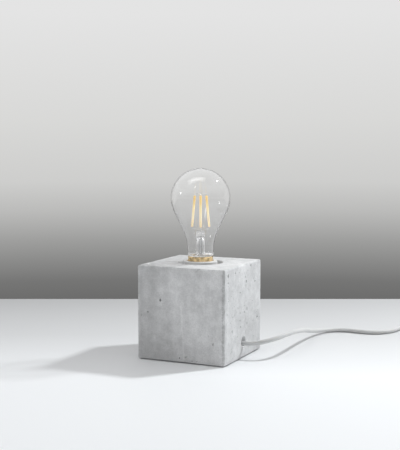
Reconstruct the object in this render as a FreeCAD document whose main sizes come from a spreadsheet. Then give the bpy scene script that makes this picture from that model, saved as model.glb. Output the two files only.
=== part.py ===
import FreeCAD, Part
import math
import os
import re

import Sketcher
from FreeCAD import Placement, Rotation, Vector

# Concrete cube table lamp with a filament bulb, its cord, switch and plug.
# Frame: millimetres, origin on the table under the cube's centre, +Z up,
# +X out of the face that the cord leaves.

doc = FreeCAD.newDocument("concrete_lamp")
sheet = doc.addObject("Spreadsheet::Sheet", "sizes")

# Driving sizes in millimetres, angles in degrees, counts as whole numbers.
sizes = {
    # concrete block
    "block_side": 100.0,
    "block_height": 99.2,
    "block_edge_radius": 0.8,
    "recess_diameter": 48.0,
    "recess_depth": 56.0,
    "recess_lip_radius": 1.0,
    "web_thickness": 12.0,
    "web_hole_diameter": 10.5,
    "cavity_diameter": 64.0,
    "outlet_diameter": 11.6,
    "outlet_height": 17.2,
    "cut_overrun": 1.0,
    # pads under the block
    "pad_thickness": 0.8,
    "pad_diameter": 12.0,
    "pad_offset": 36.0,
    # cover under the wiring cavity, with its screws and cast-in inserts
    "cover_diameter": 84.0,
    "cover_thickness": 1.5,
    "cover_side_gap": 0.8,
    "cover_sink": 1.5,
    "cover_screw_circle": 75.0,
    "cover_screw_count": 3,
    "cover_screw_angle": 60.0,
    "cover_screw_diameter": 3.0,
    "cover_screw_length": 7.0,
    "cover_screw_head_diameter": 5.6,
    "cover_screw_head_height": 1.3,
    "screw_hole_gap": 0.2,
    "screw_slot_width": 0.7,
    "screw_slot_depth": 0.6,
    "insert_diameter": 5.0,
    "insert_length": 8.0,
    # threaded nipple that holds the lamp holder to the web
    "nipple_diameter": 9.8,
    "nipple_bore": 7.6,
    "nipple_tail": 1.8,
    "nipple_reach": 7.0,
    "nipple_chamfer": 0.5,
    "nipple_thread_gap": 0.05,
    "lock_nut_flats": 14.0,
    "lock_nut_thickness": 3.0,
    "lock_washer_diameter": 20.0,
    "lock_washer_thickness": 1.2,
    "seat_washer_diameter": 25.0,
    "seat_washer_thickness": 1.0,
    "washer_hole_gap": 0.2,
    # lamp holder: bottom cap, insert and threaded shell
    "holder_diameter": 36.0,
    "holder_rim_radius": 1.2,
    "bottom_cap_foot_diameter": 26.0,
    "bottom_cap_height": 21.0,
    "bottom_cap_bevel_height": 9.0,
    "bottom_cap_wall": 1.8,
    "bottom_cap_floor": 2.2,
    "bottom_cap_boss_diameter": 15.0,
    "bottom_cap_boss_height": 9.0,
    "spigot_diameter": 33.0,
    "spigot_wall": 1.0,
    "spigot_height": 6.0,
    "spigot_gap": 0.1,
    "grub_screw_diameter": 3.0,
    "grub_screw_length": 4.5,
    "grub_screw_gap": 0.05,
    "grub_socket_diameter": 1.7,
    "grub_socket_depth": 1.5,
    "insert_disc_thickness": 10.0,
    "insert_disc_gap": 0.1,
    "insert_disc_sink": 2.0,
    "shell_length": 36.0,
    "shell_bore": 26.8,
    "shell_chamber_height": 4.0,
    "shell_chamber_wall": 2.2,
    "shell_mouth_diameter": 28.8,
    "shell_mouth_depth": 2.5,
    # screw thread shared by the holder and the bulb
    "thread_pitch": 3.629,
    "thread_round": 1.05,
    "thread_gap": 0.21,
    "thread_root_sink": 0.25,
    "shell_thread_turns": 3.9,
    # contacts and terminals of the holder
    "contact_strip_thickness": 0.6,
    "contact_strip_width": 6.0,
    "contact_gap": 0.3,
    "contact_rise": 3.0,
    "side_contact_width": 5.0,
    "side_contact_reach": 11.5,
    "side_contact_lip": 1.6,
    "terminal_offset": 9.0,
    "terminal_recess_diameter": 9.6,
    "terminal_recess_depth": 4.5,
    "terminal_screw_diameter": 3.0,
    "terminal_head_diameter": 5.6,
    "terminal_head_height": 1.8,
    # bulb: heights are measured from the tip of its contact
    "bulb_seat_depth": 22.5,
    "eyelet_diameter": 9.4,
    "eyelet_thickness": 1.1,
    "eyelet_neck_diameter": 3.0,
    "eyelet_neck_height": 2.0,
    "eyelet_gap": 0.08,
    "screw_cap_core_diameter": 24.2,
    "screw_cap_wall": 0.5,
    "screw_cap_bottom": 4.5,
    "screw_cap_lip_diameter": 18.8,
    "screw_cap_shoulder": 20.6,
    "screw_cap_skirt_diameter": 27.0,
    "screw_cap_top": 27.3,
    "screw_cap_thread_start": 2.0,
    "screw_cap_thread_turns": 3.5,
    "insulator_top": 6.5,
    "glass_top": 121.6,
    "glass_diameter": 64.8,
    "glass_neck_diameter": 29.4,
    "glass_flank_angle": 26.4,
    "glass_neck_round": 45.0,
    "glass_wall": 0.9,
    "glass_bottom": 21.5,
    "glass_seal_diameter": 25.4,
    "glass_seal_height": 27.9,
    "glass_seal_round": 2.4,
    "stem_flare_diameter": 23.0,
    "stem_flare_height": 8.5,
    "stem_tube_diameter": 9.0,
    "stem_wall": 0.8,
    "stem_tube_top": 48.5,
    "stem_press_width": 9.0,
    "stem_press_depth": 3.2,
    "stem_press_height": 5.5,
    "exhaust_tube_diameter": 2.8,
    "exhaust_tube_bore": 1.5,
    "exhaust_tube_length": 25.0,
    "stem_dome_height": 3.5,
    "stem_lead_diameter": 0.6,
    "stem_lead_offset": 2.6,
    "stem_lead_length": 33.0,
    "filament_count": 4,
    "filament_azimuth": 25.5,
    "filament_diameter": 2.1,
    "filament_bottom": 58.4,
    "filament_top": 92.0,
    "filament_bottom_radius": 9.2,
    "filament_top_radius": 6.2,
    "filament_tab_length": 1.8,
    "filament_wire_diameter": 0.6,
    "wire_rise": 1.6,
    "press_wire_spacing": 2.2,
    "hub_height": 94.5,
    "driver_board_radius": 10.9,
    "driver_board_thickness": 1.0,
    "driver_board_height": 12.5,
    "driver_board_hole": 1.4,
    "capacitor_diameter": 6.3,
    "capacitor_height": 7.0,
    "capacitor_offset": 4.6,
    "rectifier_length": 4.7,
    "rectifier_width": 3.8,
    "rectifier_height": 1.7,
    "rectifier_offset": -5.2,
    "driver_lead_diameter": 0.9,
}
sizes.update({
    # mains cord
    "cord_diameter": 5.0,
    "core_diameter": 1.9,
    "core_spacing": 2.4,
    "cord_fit_gap": 0.1,
    "cord_channel_gap": 0.3,
    "stop_tie_width": 2.6,
    "stop_tie_thickness": 1.3,
    "stop_tie_head": 4.6,
    "coil_outer_radius": 36.0,
    "coil_turn_pitch": 5.45,
    "coil_layer_pitch": 5.45,
    "coil_layer_turns": 3,
    "tie_thickness": 0.8,
    "tie_gap": 0.3,
    "tie_side_gap": 0.8,
    "tie_width": 7.0,
    "tie_corner_radius": 2.0,
    # inline switch: x along the cord, z up from the table
    "switch_length": 62.0,
    "switch_width": 26.0,
    "switch_lower_height": 9.0,
    "switch_upper_height": 8.0,
    "switch_wall": 1.6,
    "switch_corner_radius": 7.0,
    "switch_edge_radius": 1.5,
    "switch_window_length": 19.8,
    "switch_window_width": 11.2,
    "case_screw_place": 20.5,
    "case_screw_side": 8.6,
    "case_boss_diameter": 5.8,
    "case_screw_diameter": 2.5,
    "case_screw_length": 12.0,
    "case_screw_head_diameter": 4.2,
    "case_screw_head_height": 1.5,
    "case_screw_sink": 0.9,
    "small_hole_gap": 0.05,
    "clamp_place": 25.8,
    "clamp_screw_side": 6.6,
    "clamp_post_diameter": 4.4,
    "clamp_bar_width": 4.0,
    "clamp_bar_length": 17.6,
    "clamp_bar_thickness": 2.0,
    "clamp_screw_length": 8.0,
    "clamp_screw_head_height": 1.4,
    "clamp_rib_length": 6.0,
    "clamp_rib_width": 3.6,
    "terminal_place": 14.0,
    "terminal_block_length": 6.0,
    "terminal_block_width": 5.0,
    "terminal_block_height": 5.4,
    "live_side": 4.8,
    "neutral_side": 4.8,
    "neutral_bar_width": 4.0,
    "block_screw_length": 4.0,
    "block_screw_head_height": 1.3,
    "wire_entry_height": 2.6,
    "wire_entry_depth": 1.4,
    "wire_entry_gap": 0.1,
    "contact_arm_thickness": 1.0,
    "contact_arm_width": 8.0,
    "rivet_place": 6.0,
    "rivet_diameter": 2.8,
    "rivet_height": 0.9,
    "bridge_length": 15.0,
    "bridge_width": 4.0,
    "bridge_thickness": 0.8,
    "bridge_height": 5.0,
    "bridge_rivet_height": 0.7,
    "bridge_rest_angle": 5.0,
    "bridge_ridge_width": 2.4,
    "bridge_ridge_gap": 0.05,
    "rocker_length": 18.6,
    "rocker_crown_length": 18.0,
    "rocker_width": 10.4,
    "rocker_pivot_height": 14.5,
    "rocker_foot": 1.9,
    "rocker_shoulder": 2.7,
    "rocker_crown": 4.5,
    "rocker_boss_side": 4.6,
    "rocker_boss_depth": 6.9,
    "rocker_rest_angle": 12.0,
    "rocker_edge_radius": 0.6,
    "trunnion_diameter": 2.6,
    "trunnion_length": 2.3,
    "trunnion_gap": 0.1,
    "cheek_side_gap": 0.5,
    "cheek_thickness": 2.0,
    "cheek_width": 6.0,
    "cheek_drop": 3.4,
    "plunger_diameter": 2.6,
    "plunger_length": 4.0,
    "plunger_reach": 8.5,
    "plunger_bore_gap": 0.1,
    "plunger_bore_depth": 6.4,
    "spring_wire": 0.4,
    "spring_diameter": 1.8,
    "spring_turns": 4,
    # two-pin plug: x towards the pins, z up from its axis
    "plug_length": 36.0,
    "plug_width": 35.3,
    "plug_neck_width": 14.0,
    "plug_waist_width": 18.0,
    "plug_waist_length": 11.0,
    "plug_shoulder_length": 24.0,
    "plug_thickness": 13.7,
    "plug_corner_radius": 3.5,
    "plug_edge_radius": 2.5,
    "pin_spacing": 18.6,
    "pin_diameter": 4.0,
    "pin_length": 19.0,
    "pin_sleeve_length": 10.0,
    "pin_core_diameter": 2.9,
    "pin_sleeve_diameter": 3.5,
    "pin_root": 6.0,
    "sleeve_length": 32.0,
    "sleeve_root_diameter": 9.2,
    "sleeve_tip_diameter": 6.6,
    "sleeve_ring_count": 6,
    "sleeve_groove_depth": 0.7,
})

# Heights above the table and other places worked out from the driving sizes.
places = {
    "block_bottom": "pad_thickness",
    "block_top": "pad_thickness + block_height",
    "web_top": "block_top - recess_depth",
    "web_bottom": "web_top - web_thickness",
    "cover_recess_depth": "cover_sink + cover_thickness",
    "cover_bottom": "block_bottom + cover_sink",
    "cover_top": "cover_bottom + cover_thickness",
    "screw_circle_radius": "cover_screw_circle / 2",
    "nut_bottom": "web_bottom - lock_washer_thickness - lock_nut_thickness",
    "nipple_bottom": "nut_bottom - nipple_tail",
    "cap_bottom": "web_top + seat_washer_thickness",
    "nipple_length": "cap_bottom + nipple_reach - nipple_bottom",
    "cap_top": "cap_bottom + bottom_cap_height",
    "disc_bottom": "cap_top - insert_disc_sink",
    "disc_top": "disc_bottom + insert_disc_thickness",
    "disc_radius": "spigot_diameter / 2 - spigot_wall - insert_disc_gap",
    "holder_top": "cap_top + shell_length",
    "thread_floor": "disc_top + shell_chamber_height",
    "bulb_base": "max(holder_top - bulb_seat_depth; disc_top + contact_rise)",
    "core_radius": "screw_cap_core_diameter / 2",
    "coil_lift": "tie_thickness + tie_gap",
    "switch_roof": "switch_upper_height - switch_wall",
    "case_screw_seat": "case_screw_sink + case_screw_head_height",
    "clamp_bar_bottom": "switch_lower_height + cord_diameter / 2 + cord_fit_gap",
    "terminal_block_top": "switch_wall + terminal_block_height",
    "contact_arm_top": "switch_wall + contact_arm_thickness",
}

for row, (alias, number) in enumerate(sizes.items(), start=1):
    sheet.set(f"A{row}", alias.replace("_", " "))
    sheet.set(f"B{row}", str(number))
    sheet.setAlias(f"B{row}", alias)
doc.recompute()


def ex(text):
    """The expression with each size and place named in it looked up in the sheet."""
    def look_up(match):
        word = match[0]
        if word in places:
            return "(" + ex(places[word]) + ")"
        return "sizes." + word if word in sizes else word
    return re.sub(r"[a-z_]+[a-z]", look_up, str(text))


def mm(text):
    """The number that an expression in the sheet's names comes to."""
    return float(sheet.evalExpression(ex(text)))


def bind(thing, **formulas):
    """Tie the properties of an object to the sheet."""
    for name, formula in formulas.items():
        thing.setExpression(name, ex(formula))


def put(thing, x="0", y="0", z="0", axis=None, angle="0"):
    """Place an object, its position and turn tied to the sheet."""
    if axis is not None:
        thing.Placement = Placement(Vector(), Rotation(axis, mm(angle)))
        thing.setExpression("Placement.Rotation.Angle", ex(angle))
    for name, formula in (("x", x), ("y", y), ("z", z)):
        thing.setExpression(f"Placement.Base.{name}", ex(formula))
    return thing


X_AXIS = Vector(1, 0, 0)
Y_AXIS = Vector(0, 1, 0)
Z_AXIS = Vector(0, 0, 1)
pieces = []  # the labelled sub-parts, in the order in which they are made


def new_body(label):
    body = doc.addObject("PartDesign::Body", label)
    body.Label = label
    pieces.append(body)
    return body


def plane(body, role):
    return next(item for item in body.Origin.OriginFeatures if item.Role == role)


def new_sketch(body, role, lift=None):
    """A sketch on one of the body's own planes, lifted along the plane's normal."""
    sketch = body.newObject("Sketcher::SketchObject", body.Label + "_sketch")
    sketch.AttachmentSupport = [(plane(body, role), "")]
    sketch.MapMode = "FlatFace"
    if lift is not None:
        sketch.setExpression("AttachmentOffset.Base.z", ex(lift))
    return sketch


def pin_point(sketch, geometry, point, x, y):
    """Tie a point of the sketch to its distances from the sketch's origin."""
    for formula, kind, axis in ((x, "DistanceX", -2), (y, "DistanceY", -1)):
        reach = mm(formula)
        if formula == "0":
            sketch.addConstraint(Sketcher.Constraint("PointOnObject", geometry, point, axis))
        elif reach > 0:
            tie = sketch.addConstraint(Sketcher.Constraint(kind, -1, 1, geometry, point, reach))
            sketch.setExpression(f"Constraints[{tie}]", ex(formula))
        else:
            tie = sketch.addConstraint(Sketcher.Constraint(kind, geometry, point, -1, 1, -reach))
            sketch.setExpression(f"Constraints[{tie}]", ex(f"-({formula})"))


def outline(sketch, corners):
    """A closed outline of straight lines through corners given as (x, y) formulas."""
    spots = [Vector(mm(x), mm(y), 0) for x, y in corners]
    count = len(spots)
    for index, spot in enumerate(spots):
        sketch.addGeometry(Part.LineSegment(spot, spots[(index + 1) % count]))
    for index in range(count):
        sketch.addConstraint(
            Sketcher.Constraint("Coincident", index, 2, (index + 1) % count, 1)
        )
    for index, (x, y) in enumerate(corners):
        pin_point(sketch, index, 1, x, y)
    return sketch


def box_corners(x, y, width, depth):
    """The four corners of a rectangle about a centre."""
    sides = ((-1, -1), (1, -1), (1, 1), (-1, 1))
    return [(f"{x} + {a} * ({width}) / 2", f"{y} + {b} * ({depth}) / 2") for a, b in sides]


def circles(sketch, rounds):
    """Full circles given as (x, y, diameter) formulas."""
    for x, y, diameter in rounds:
        centre = Vector(mm(x), mm(y), 0)
        index = sketch.addGeometry(Part.Circle(centre, Z_AXIS, mm(diameter) / 2))
        pin_point(sketch, index, 3, x, y)
        size = sketch.addConstraint(Sketcher.Constraint("Radius", index, mm(diameter) / 2))
        sketch.setExpression(f"Constraints[{size}]", ex(f"({diameter}) / 2"))
    return sketch


def pad(body, sketch, height, both=False):
    feature = body.newObject("PartDesign::Pad", body.Label + "_pad")
    feature.Profile = sketch
    feature.Midplane = both
    bind(feature, Length=height)
    return feature


def pocket(body, sketch, depth, up=False, both=False):
    """A cut into the body, which has to take some of it away."""
    doc.recompute()
    before = body.Shape.Volume
    feature = body.newObject("PartDesign::Pocket", body.Label + "_pocket")
    feature.Profile = sketch
    feature.Reversed = up
    feature.Midplane = both
    bind(feature, Length=depth)
    doc.recompute()
    if feature.Shape.Volume > before * (1 - 1e-9):
        raise RuntimeError(f"a pocket of {body.Label} cuts nothing")
    return feature


def revolve(body, corners):
    """A full turn of an outline of (radius, height) corners about the upright axis."""
    feature = body.newObject("PartDesign::Revolution", body.Label + "_turned")
    sketch = outline(new_sketch(body, "XZ_Plane"), corners)
    feature.Profile = sketch
    feature.ReferenceAxis = (sketch, ["V_Axis"])
    feature.Angle = 360
    return body


def turned(label, corners, **place):
    return put(revolve(new_body(label), corners), **place)


def tube_corners(inner, outer, bottom, top):
    """The section of a plain tube, from its diameters."""
    return [
        (f"({inner}) / 2", bottom),
        (f"({outer}) / 2", bottom),
        (f"({outer}) / 2", top),
        (f"({inner}) / 2", top),
    ]


def soften(body, radius, wanted, kind="Fillet"):
    """Round or bevel the edges of the body that pass the test."""
    doc.recompute()
    tip = body.Tip
    names = [f"Edge{n}" for n, edge in enumerate(tip.Shape.Edges, start=1) if wanted(edge)]
    if not names:
        raise RuntimeError(f"no edge of {body.Label} is left to soften")
    feature = body.newObject("PartDesign::" + kind, body.Label + "_edges")
    feature.Base = (tip, names)
    bind(feature, **{"Radius" if kind == "Fillet" else "Size": radius})
    return feature


def upright(edge):
    first, last = edge.Vertexes[0].Point, edge.Vertexes[-1].Point
    return math.hypot(last.x - first.x, last.y - first.y) < 1e-6 < abs(last.z - first.z)


def level_at(edge, height):
    box = edge.BoundBox
    return abs(box.ZMin - height) < 1e-5 and abs(box.ZMax - height) < 1e-5


def ring_of(edge, diameter):
    """True for a level full circle of this diameter about the upright axis."""
    box = edge.BoundBox
    level = box.ZLength < 1e-5
    return level and abs(box.XLength - diameter) < 1e-4 and abs(box.YLength - diameter) < 1e-4


def cylinder(diameter, height, **place):
    solid = doc.addObject("Part::Cylinder", "round")
    bind(solid, Radius=f"({diameter}) / 2", Height=height)
    return put(solid, **place)


def block(length, width, height, x="0", y="0", z="0"):
    """A box whose base is centred on x and y."""
    solid = doc.addObject("Part::Box", "block")
    bind(solid, Length=length, Width=width, Height=height)
    return put(solid, f"{x} - ({length}) / 2", f"{y} - ({width}) / 2", z)


def fused(solids, label=None):
    whole = doc.addObject("Part::MultiFuse", label or "fused")
    whole.Shapes = solids
    return named(whole, label)


def cut(base, tool, label=None):
    rest = doc.addObject("Part::Cut", label or "cut")
    rest.Base = base
    rest.Tool = tool
    return named(rest, label)


def named(thing, label):
    if label:
        thing.Label = label
        pieces.append(thing)
    return thing


def shaped(label, shape):
    """A sub-part whose shape is worked out below from the sheet's sizes."""
    thing = doc.addObject("Part::Feature", label)
    thing.Shape = shape
    return named(thing, label)


def screws(label, spots, shaft, length, head, head_height, point_up=False):
    """Slotted pan-head screws at (x, y, z) formulas, z where the head meets its seat."""
    group = []
    for x, y, z in spots:
        shank_z = z if point_up else f"{z} - ({length})"
        head_z = f"{z} - ({head_height})" if point_up else z
        slot_z = head_z if point_up else f"{z} + {head_height} - screw_slot_depth"
        whole = fused([
            cylinder(shaft, length, x=x, y=y, z=shank_z),
            cylinder(head, head_height, x=x, y=y, z=head_z),
        ])
        slot = block(f"2 * ({head})", "screw_slot_width", "screw_slot_depth", x, y, slot_z)
        group.append(cut(whole, slot))
    return fused(group, label) if len(group) > 1 else named(group[0], label)


def polar(radius, angle):
    """The x and y formulas of a spot at a radius and an angle in degrees."""
    return f"({radius}) * cos({angle})", f"({radius}) * sin({angle})"

# Concrete block: a cube with a round recess from above, a wiring cavity from
# below, a web between them and an outlet for the cord in the +X face.
concrete = put(new_body("concrete_block"), z="block_bottom")
pad(concrete, outline(new_sketch(concrete, "XY_Plane"),
                      box_corners("0", "0", "block_side", "block_side")), "block_height")
soften(concrete, "block_edge_radius", lambda edge: True)
pocket(concrete, circles(new_sketch(concrete, "XY_Plane", "block_height"),
                         [("0", "0", "recess_diameter")]), "recess_depth")
soften(concrete, "recess_lip_radius",
       lambda edge: level_at(edge, mm("block_height")) and ring_of(edge, mm("recess_diameter")))
pocket(concrete, circles(new_sketch(concrete, "XY_Plane"), [("0", "0", "cavity_diameter")]),
       "web_bottom - block_bottom", up=True)
pocket(concrete, circles(new_sketch(concrete, "XY_Plane"),
                         [("0", "0", "cover_diameter + 2 * cover_side_gap")]),
       "cover_recess_depth", up=True)
pocket(concrete, circles(new_sketch(concrete, "XY_Plane"), [("0", "0", "web_hole_diameter")]),
       "block_height", up=True)
outlet_sketch = new_sketch(concrete, "YZ_Plane")
pocket(concrete, circles(outlet_sketch, [("0", "outlet_height - block_bottom", "outlet_diameter")]),
       "block_side / 2 + cut_overrun", up=True)
cover_angles = [
    f"cover_screw_angle + {n} * 360 / cover_screw_count"
    for n in range(round(mm("cover_screw_count")))
]
screw_spots = [polar("screw_circle_radius", angle) for angle in cover_angles]
pocket(concrete, circles(new_sketch(concrete, "XY_Plane"),
                         [(x, y, "insert_diameter") for x, y in screw_spots]),
       "cover_recess_depth + insert_length", up=True)

pad_spots = [(a, b) for a in (-1, 1) for b in (-1, 1)]
fused([
    cylinder("pad_diameter", "pad_thickness", x=f"{a} * pad_offset", y=f"{b} * pad_offset")
    for a, b in pad_spots
], "base_pads")

# Cover of the wiring cavity, its screws and the inserts cast into the block.
cover = put(new_body("base_cover"), z="cover_bottom")
pad(cover, circles(new_sketch(cover, "XY_Plane"), [("0", "0", "cover_diameter")]),
    "cover_thickness")
pocket(cover, circles(new_sketch(cover, "XY_Plane"),
                      [(x, y, "cover_screw_diameter + 2 * screw_hole_gap") for x, y in screw_spots]),
       "cover_thickness", up=True)
screws("cover_screws", [(x, y, "cover_bottom") for x, y in screw_spots],
       "cover_screw_diameter", "cover_screw_length",
       "cover_screw_head_diameter", "cover_screw_head_height", point_up=True)
fused([
    cut(cylinder("insert_diameter", "insert_length", x=x, y=y, z="cover_top"),
        cylinder("cover_screw_diameter + 2 * small_hole_gap", "insert_length",
                 x=x, y=y, z="cover_top"))
    for x, y in screw_spots
], "cover_inserts")

# Nipple through the web, with its washers, lock nut and grub screw.
nipple = turned("threaded_nipple",
                tube_corners("nipple_bore", "nipple_diameter", "0", "nipple_length"),
                z="nipple_bottom")
soften(nipple, "nipple_chamfer",
       lambda edge: ring_of(edge, mm("nipple_diameter")), "Chamfer")
nipple_hole = "nipple_diameter + 2 * nipple_thread_gap"
nut = put(new_body("lock_nut"), z="nut_bottom")
nut_corners = [polar("lock_nut_flats / 2 / cos(30)", 60 * n + 30) for n in range(6)]
pad(nut, outline(new_sketch(nut, "XY_Plane"), nut_corners), "lock_nut_thickness")
pocket(nut, circles(new_sketch(nut, "XY_Plane"), [("0", "0", nipple_hole)]),
       "lock_nut_thickness", up=True)
washer_hole = "nipple_diameter + 2 * washer_hole_gap"
turned("lock_washer", tube_corners(washer_hole, "lock_washer_diameter", "0",
                                   "lock_washer_thickness"),
       z="web_bottom - lock_washer_thickness")
turned("seat_washer", tube_corners(washer_hole, "seat_washer_diameter", "0",
                                   "seat_washer_thickness"), z="web_top")

# Bottom cap of the holder: a cup with a boss for the nipple and a spigot on top.
spigot_inner = "spigot_diameter / 2 - spigot_wall"
ledge = "spigot_diameter / 2 - spigot_wall - bottom_cap_wall"
disc_seat = "bottom_cap_height - insert_disc_sink"
bottom_cap = turned("holder_bottom_cap", [
    ("(" + nipple_hole + ") / 2", "0"),
    ("bottom_cap_foot_diameter / 2", "0"),
    ("holder_diameter / 2", "bottom_cap_bevel_height"),
    ("holder_diameter / 2", "bottom_cap_height"),
    ("spigot_diameter / 2", "bottom_cap_height"),
    ("spigot_diameter / 2", "bottom_cap_height + spigot_height"),
    (spigot_inner, "bottom_cap_height + spigot_height"),
    (spigot_inner, disc_seat),
    (ledge, disc_seat),
    (ledge, "bottom_cap_bevel_height + bottom_cap_floor"),
    ("bottom_cap_foot_diameter / 2 - bottom_cap_wall", "bottom_cap_floor"),
    ("bottom_cap_boss_diameter / 2", "bottom_cap_floor"),
    ("bottom_cap_boss_diameter / 2", "bottom_cap_boss_height"),
    ("(" + nipple_hole + ") / 2", "bottom_cap_boss_height"),
], z="cap_bottom")
grub_height = "bottom_cap_floor + (bottom_cap_boss_height - bottom_cap_floor) / 2"
grub_hole = circles(new_sketch(bottom_cap, "YZ_Plane"),
                    [("0", grub_height, "grub_screw_diameter + 2 * grub_screw_gap")])
pocket(bottom_cap, grub_hole, "holder_diameter / 2")
grub_start = "nipple_diameter / 2 + grub_screw_gap"
cut(cylinder("grub_screw_diameter", "grub_screw_length", axis=Y_AXIS, angle="-90",
             x=f"-({grub_start})", z=f"cap_bottom + {grub_height}"),
    cylinder("grub_socket_diameter", "grub_socket_depth + cut_overrun", axis=Y_AXIS, angle="-90",
             x=f"-({grub_start} + grub_screw_length - grub_socket_depth)",
             z=f"cap_bottom + {grub_height}"), "grub_screw")


def helix_ridge(body, ring_radius, start, ridge, outward, turns):
    """A half-round ridge wound on a wall of the body as a right-hand thread."""
    side = 1 if outward else -1
    sketch = new_sketch(body, "XZ_Plane")
    centre = Vector(mm(ring_radius), mm(start), 0)
    facing = 0 if outward else math.pi
    quarter = math.pi / 2
    ring = Part.Circle(centre, Z_AXIS, mm(ridge))
    arc = sketch.addGeometry(Part.ArcOfCircle(ring, facing - quarter, facing + quarter))
    bottom, top = (1, 2) if outward else (2, 1)
    root = mm(ring_radius) - side * mm("thread_root_sink")
    low, high = centre.y - mm(ridge), centre.y + mm(ridge)
    path = [(centre.x, high), (root, high), (root, low), (centre.x, low)]
    for (x, y), (next_x, next_y) in zip(path, path[1:]):
        sketch.addGeometry(Part.LineSegment(Vector(x, y, 0), Vector(next_x, next_y, 0)))
    for first, point, second, other in ((arc, top, 1, 1), (1, 2, 2, 1), (2, 2, 3, 1),
                                        (3, 2, arc, bottom)):
        sketch.addConstraint(Sketcher.Constraint("Coincident", first, point, second, other))
    for kind, *where in (("Horizontal", 1), ("Vertical", 2), ("Horizontal", 3),
                         ("Vertical", arc, 3, arc, bottom), ("Vertical", arc, 3, arc, top)):
        sketch.addConstraint(Sketcher.Constraint(kind, *where))
    pin_point(sketch, arc, 3, ring_radius, start)
    size = sketch.addConstraint(Sketcher.Constraint("Radius", arc, mm(ridge)))
    sketch.setExpression(f"Constraints[{size}]", ex(ridge))
    inner = sketch.addConstraint(Sketcher.Constraint("DistanceX", -1, 1, 2, 1, root))
    sketch.setExpression(f"Constraints[{inner}]", ex(f"{ring_radius} - {side} * thread_root_sink"))
    doc.recompute()
    before = body.Shape.Volume
    winding = body.newObject("PartDesign::AdditiveHelix", body.Label + "_thread")
    winding.Profile = sketch
    winding.ReferenceAxis = (sketch, ["V_Axis"])
    winding.Mode = 0
    bind(winding, Pitch="thread_pitch", Height=f"thread_pitch * {turns}")
    doc.recompute()
    if winding.Shape.Volume < before * (1 + 1e-9):
        raise RuntimeError(f"the thread of {body.Label} adds nothing")


# Insert of the holder: a disc that carries both contacts and their screws.
terminal_spots = [("-terminal_offset", "0"), ("terminal_offset", "0")]
screw_bore = "terminal_screw_diameter + 2 * small_hole_gap"
disc = put(new_body("holder_insert"), z="disc_bottom")
pad(disc, circles(new_sketch(disc, "XY_Plane"), [("0", "0", "2 * disc_radius")]),
    "insert_disc_thickness")
pocket(disc, circles(new_sketch(disc, "XY_Plane"),
                     [(x, y, "terminal_recess_diameter") for x, y in terminal_spots]),
       "terminal_recess_depth", up=True)
pocket(disc, circles(new_sketch(disc, "XY_Plane"),
                     [(x, y, screw_bore) for x, y in terminal_spots]),
       "insert_disc_thickness", up=True)
screws("terminal_screws", [(x, y, "disc_bottom + terminal_recess_depth") for x, y in terminal_spots],
       "terminal_screw_diameter",
       "insert_disc_thickness - terminal_recess_depth + contact_strip_thickness",
       "terminal_head_diameter", "terminal_head_height", point_up=True)


def strip(label, corners, width, hole_x):
    """A contact bent from sheet, its side view drawn and its screw hole cut."""
    body = put(new_body(label), z="disc_top")
    pad(body, outline(new_sketch(body, "XZ_Plane"), corners), width, both=True)
    pocket(body, circles(new_sketch(body, "XY_Plane"), [(hole_x, "0", screw_bore)]),
           "contact_strip_thickness", up=True)


strip_end = "terminal_offset + contact_strip_width / 2"
tongue_rise = "bulb_base - contact_gap - disc_top"
tongue_bend_share = 0.55
bend_run = f"{tongue_bend_share} * contact_strip_width"
strip("centre_contact", [
    (f"-({strip_end})", "0"),
    ("-contact_strip_width", "0"),
    ("-contact_strip_width / 2", f"{tongue_rise} - contact_strip_thickness"),
    ("contact_strip_width / 2", f"{tongue_rise} - contact_strip_thickness"),
    ("contact_strip_width / 2", tongue_rise),
    (f"-({bend_run})", tongue_rise),
    (f"-({bend_run} + contact_strip_width / 2)", "contact_strip_thickness"),
    (f"-({strip_end})", "contact_strip_thickness"),
], "contact_strip_width", "-terminal_offset")
lip_rise = "bulb_base + screw_cap_bottom - contact_gap - disc_top"
strip("side_contact", [
    ("terminal_offset - contact_strip_width / 2", "0"),
    ("side_contact_reach", "0"),
    ("side_contact_reach", lip_rise),
    ("side_contact_reach - side_contact_lip", lip_rise),
    ("side_contact_reach - side_contact_lip", f"{lip_rise} - contact_strip_thickness"),
    ("side_contact_reach - contact_strip_thickness", f"{lip_rise} - contact_strip_thickness"),
    ("side_contact_reach - contact_strip_thickness", "contact_strip_thickness"),
    ("terminal_offset - contact_strip_width / 2", "contact_strip_thickness"),
], "side_contact_width", "terminal_offset")

# Threaded shell of the holder.
chamber_radius = "holder_diameter / 2 - shell_chamber_wall"
spigot_hole = "spigot_diameter / 2 + spigot_gap"
shell = turned("holder_shell", [
    (spigot_hole, "0"),
    ("holder_diameter / 2", "0"),
    ("holder_diameter / 2", "shell_length"),
    ("shell_mouth_diameter / 2", "shell_length"),
    ("shell_mouth_diameter / 2", "shell_length - shell_mouth_depth"),
    ("shell_bore / 2", "shell_length - shell_mouth_depth"),
    ("shell_bore / 2", "thread_floor - cap_top"),
    (chamber_radius, "thread_floor - cap_top"),
    (chamber_radius, "spigot_height + spigot_gap"),
    (spigot_hole, "spigot_height + spigot_gap"),
], z="cap_top")
soften(shell, "holder_rim_radius",
       lambda edge: level_at(edge, mm("shell_length")) and ring_of(edge, mm("holder_diameter")))
male_start = "bulb_base + screw_cap_bottom + screw_cap_thread_start"
shell_ridge = (
    "sqrt((shell_bore / 2 - core_radius) ^ 2 + (thread_pitch / 2) ^ 2)"
    " - thread_round - thread_gap"
)
shell_start = f"{male_start} - thread_pitch / 2 - cap_top"
thread_room = f"(shell_length - shell_mouth_depth - ({shell_start}) - thread_round)"
helix_ridge(shell, "shell_bore / 2", shell_start,
            shell_ridge, False, f"min(shell_thread_turns; {thread_room} / thread_pitch)")

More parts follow.
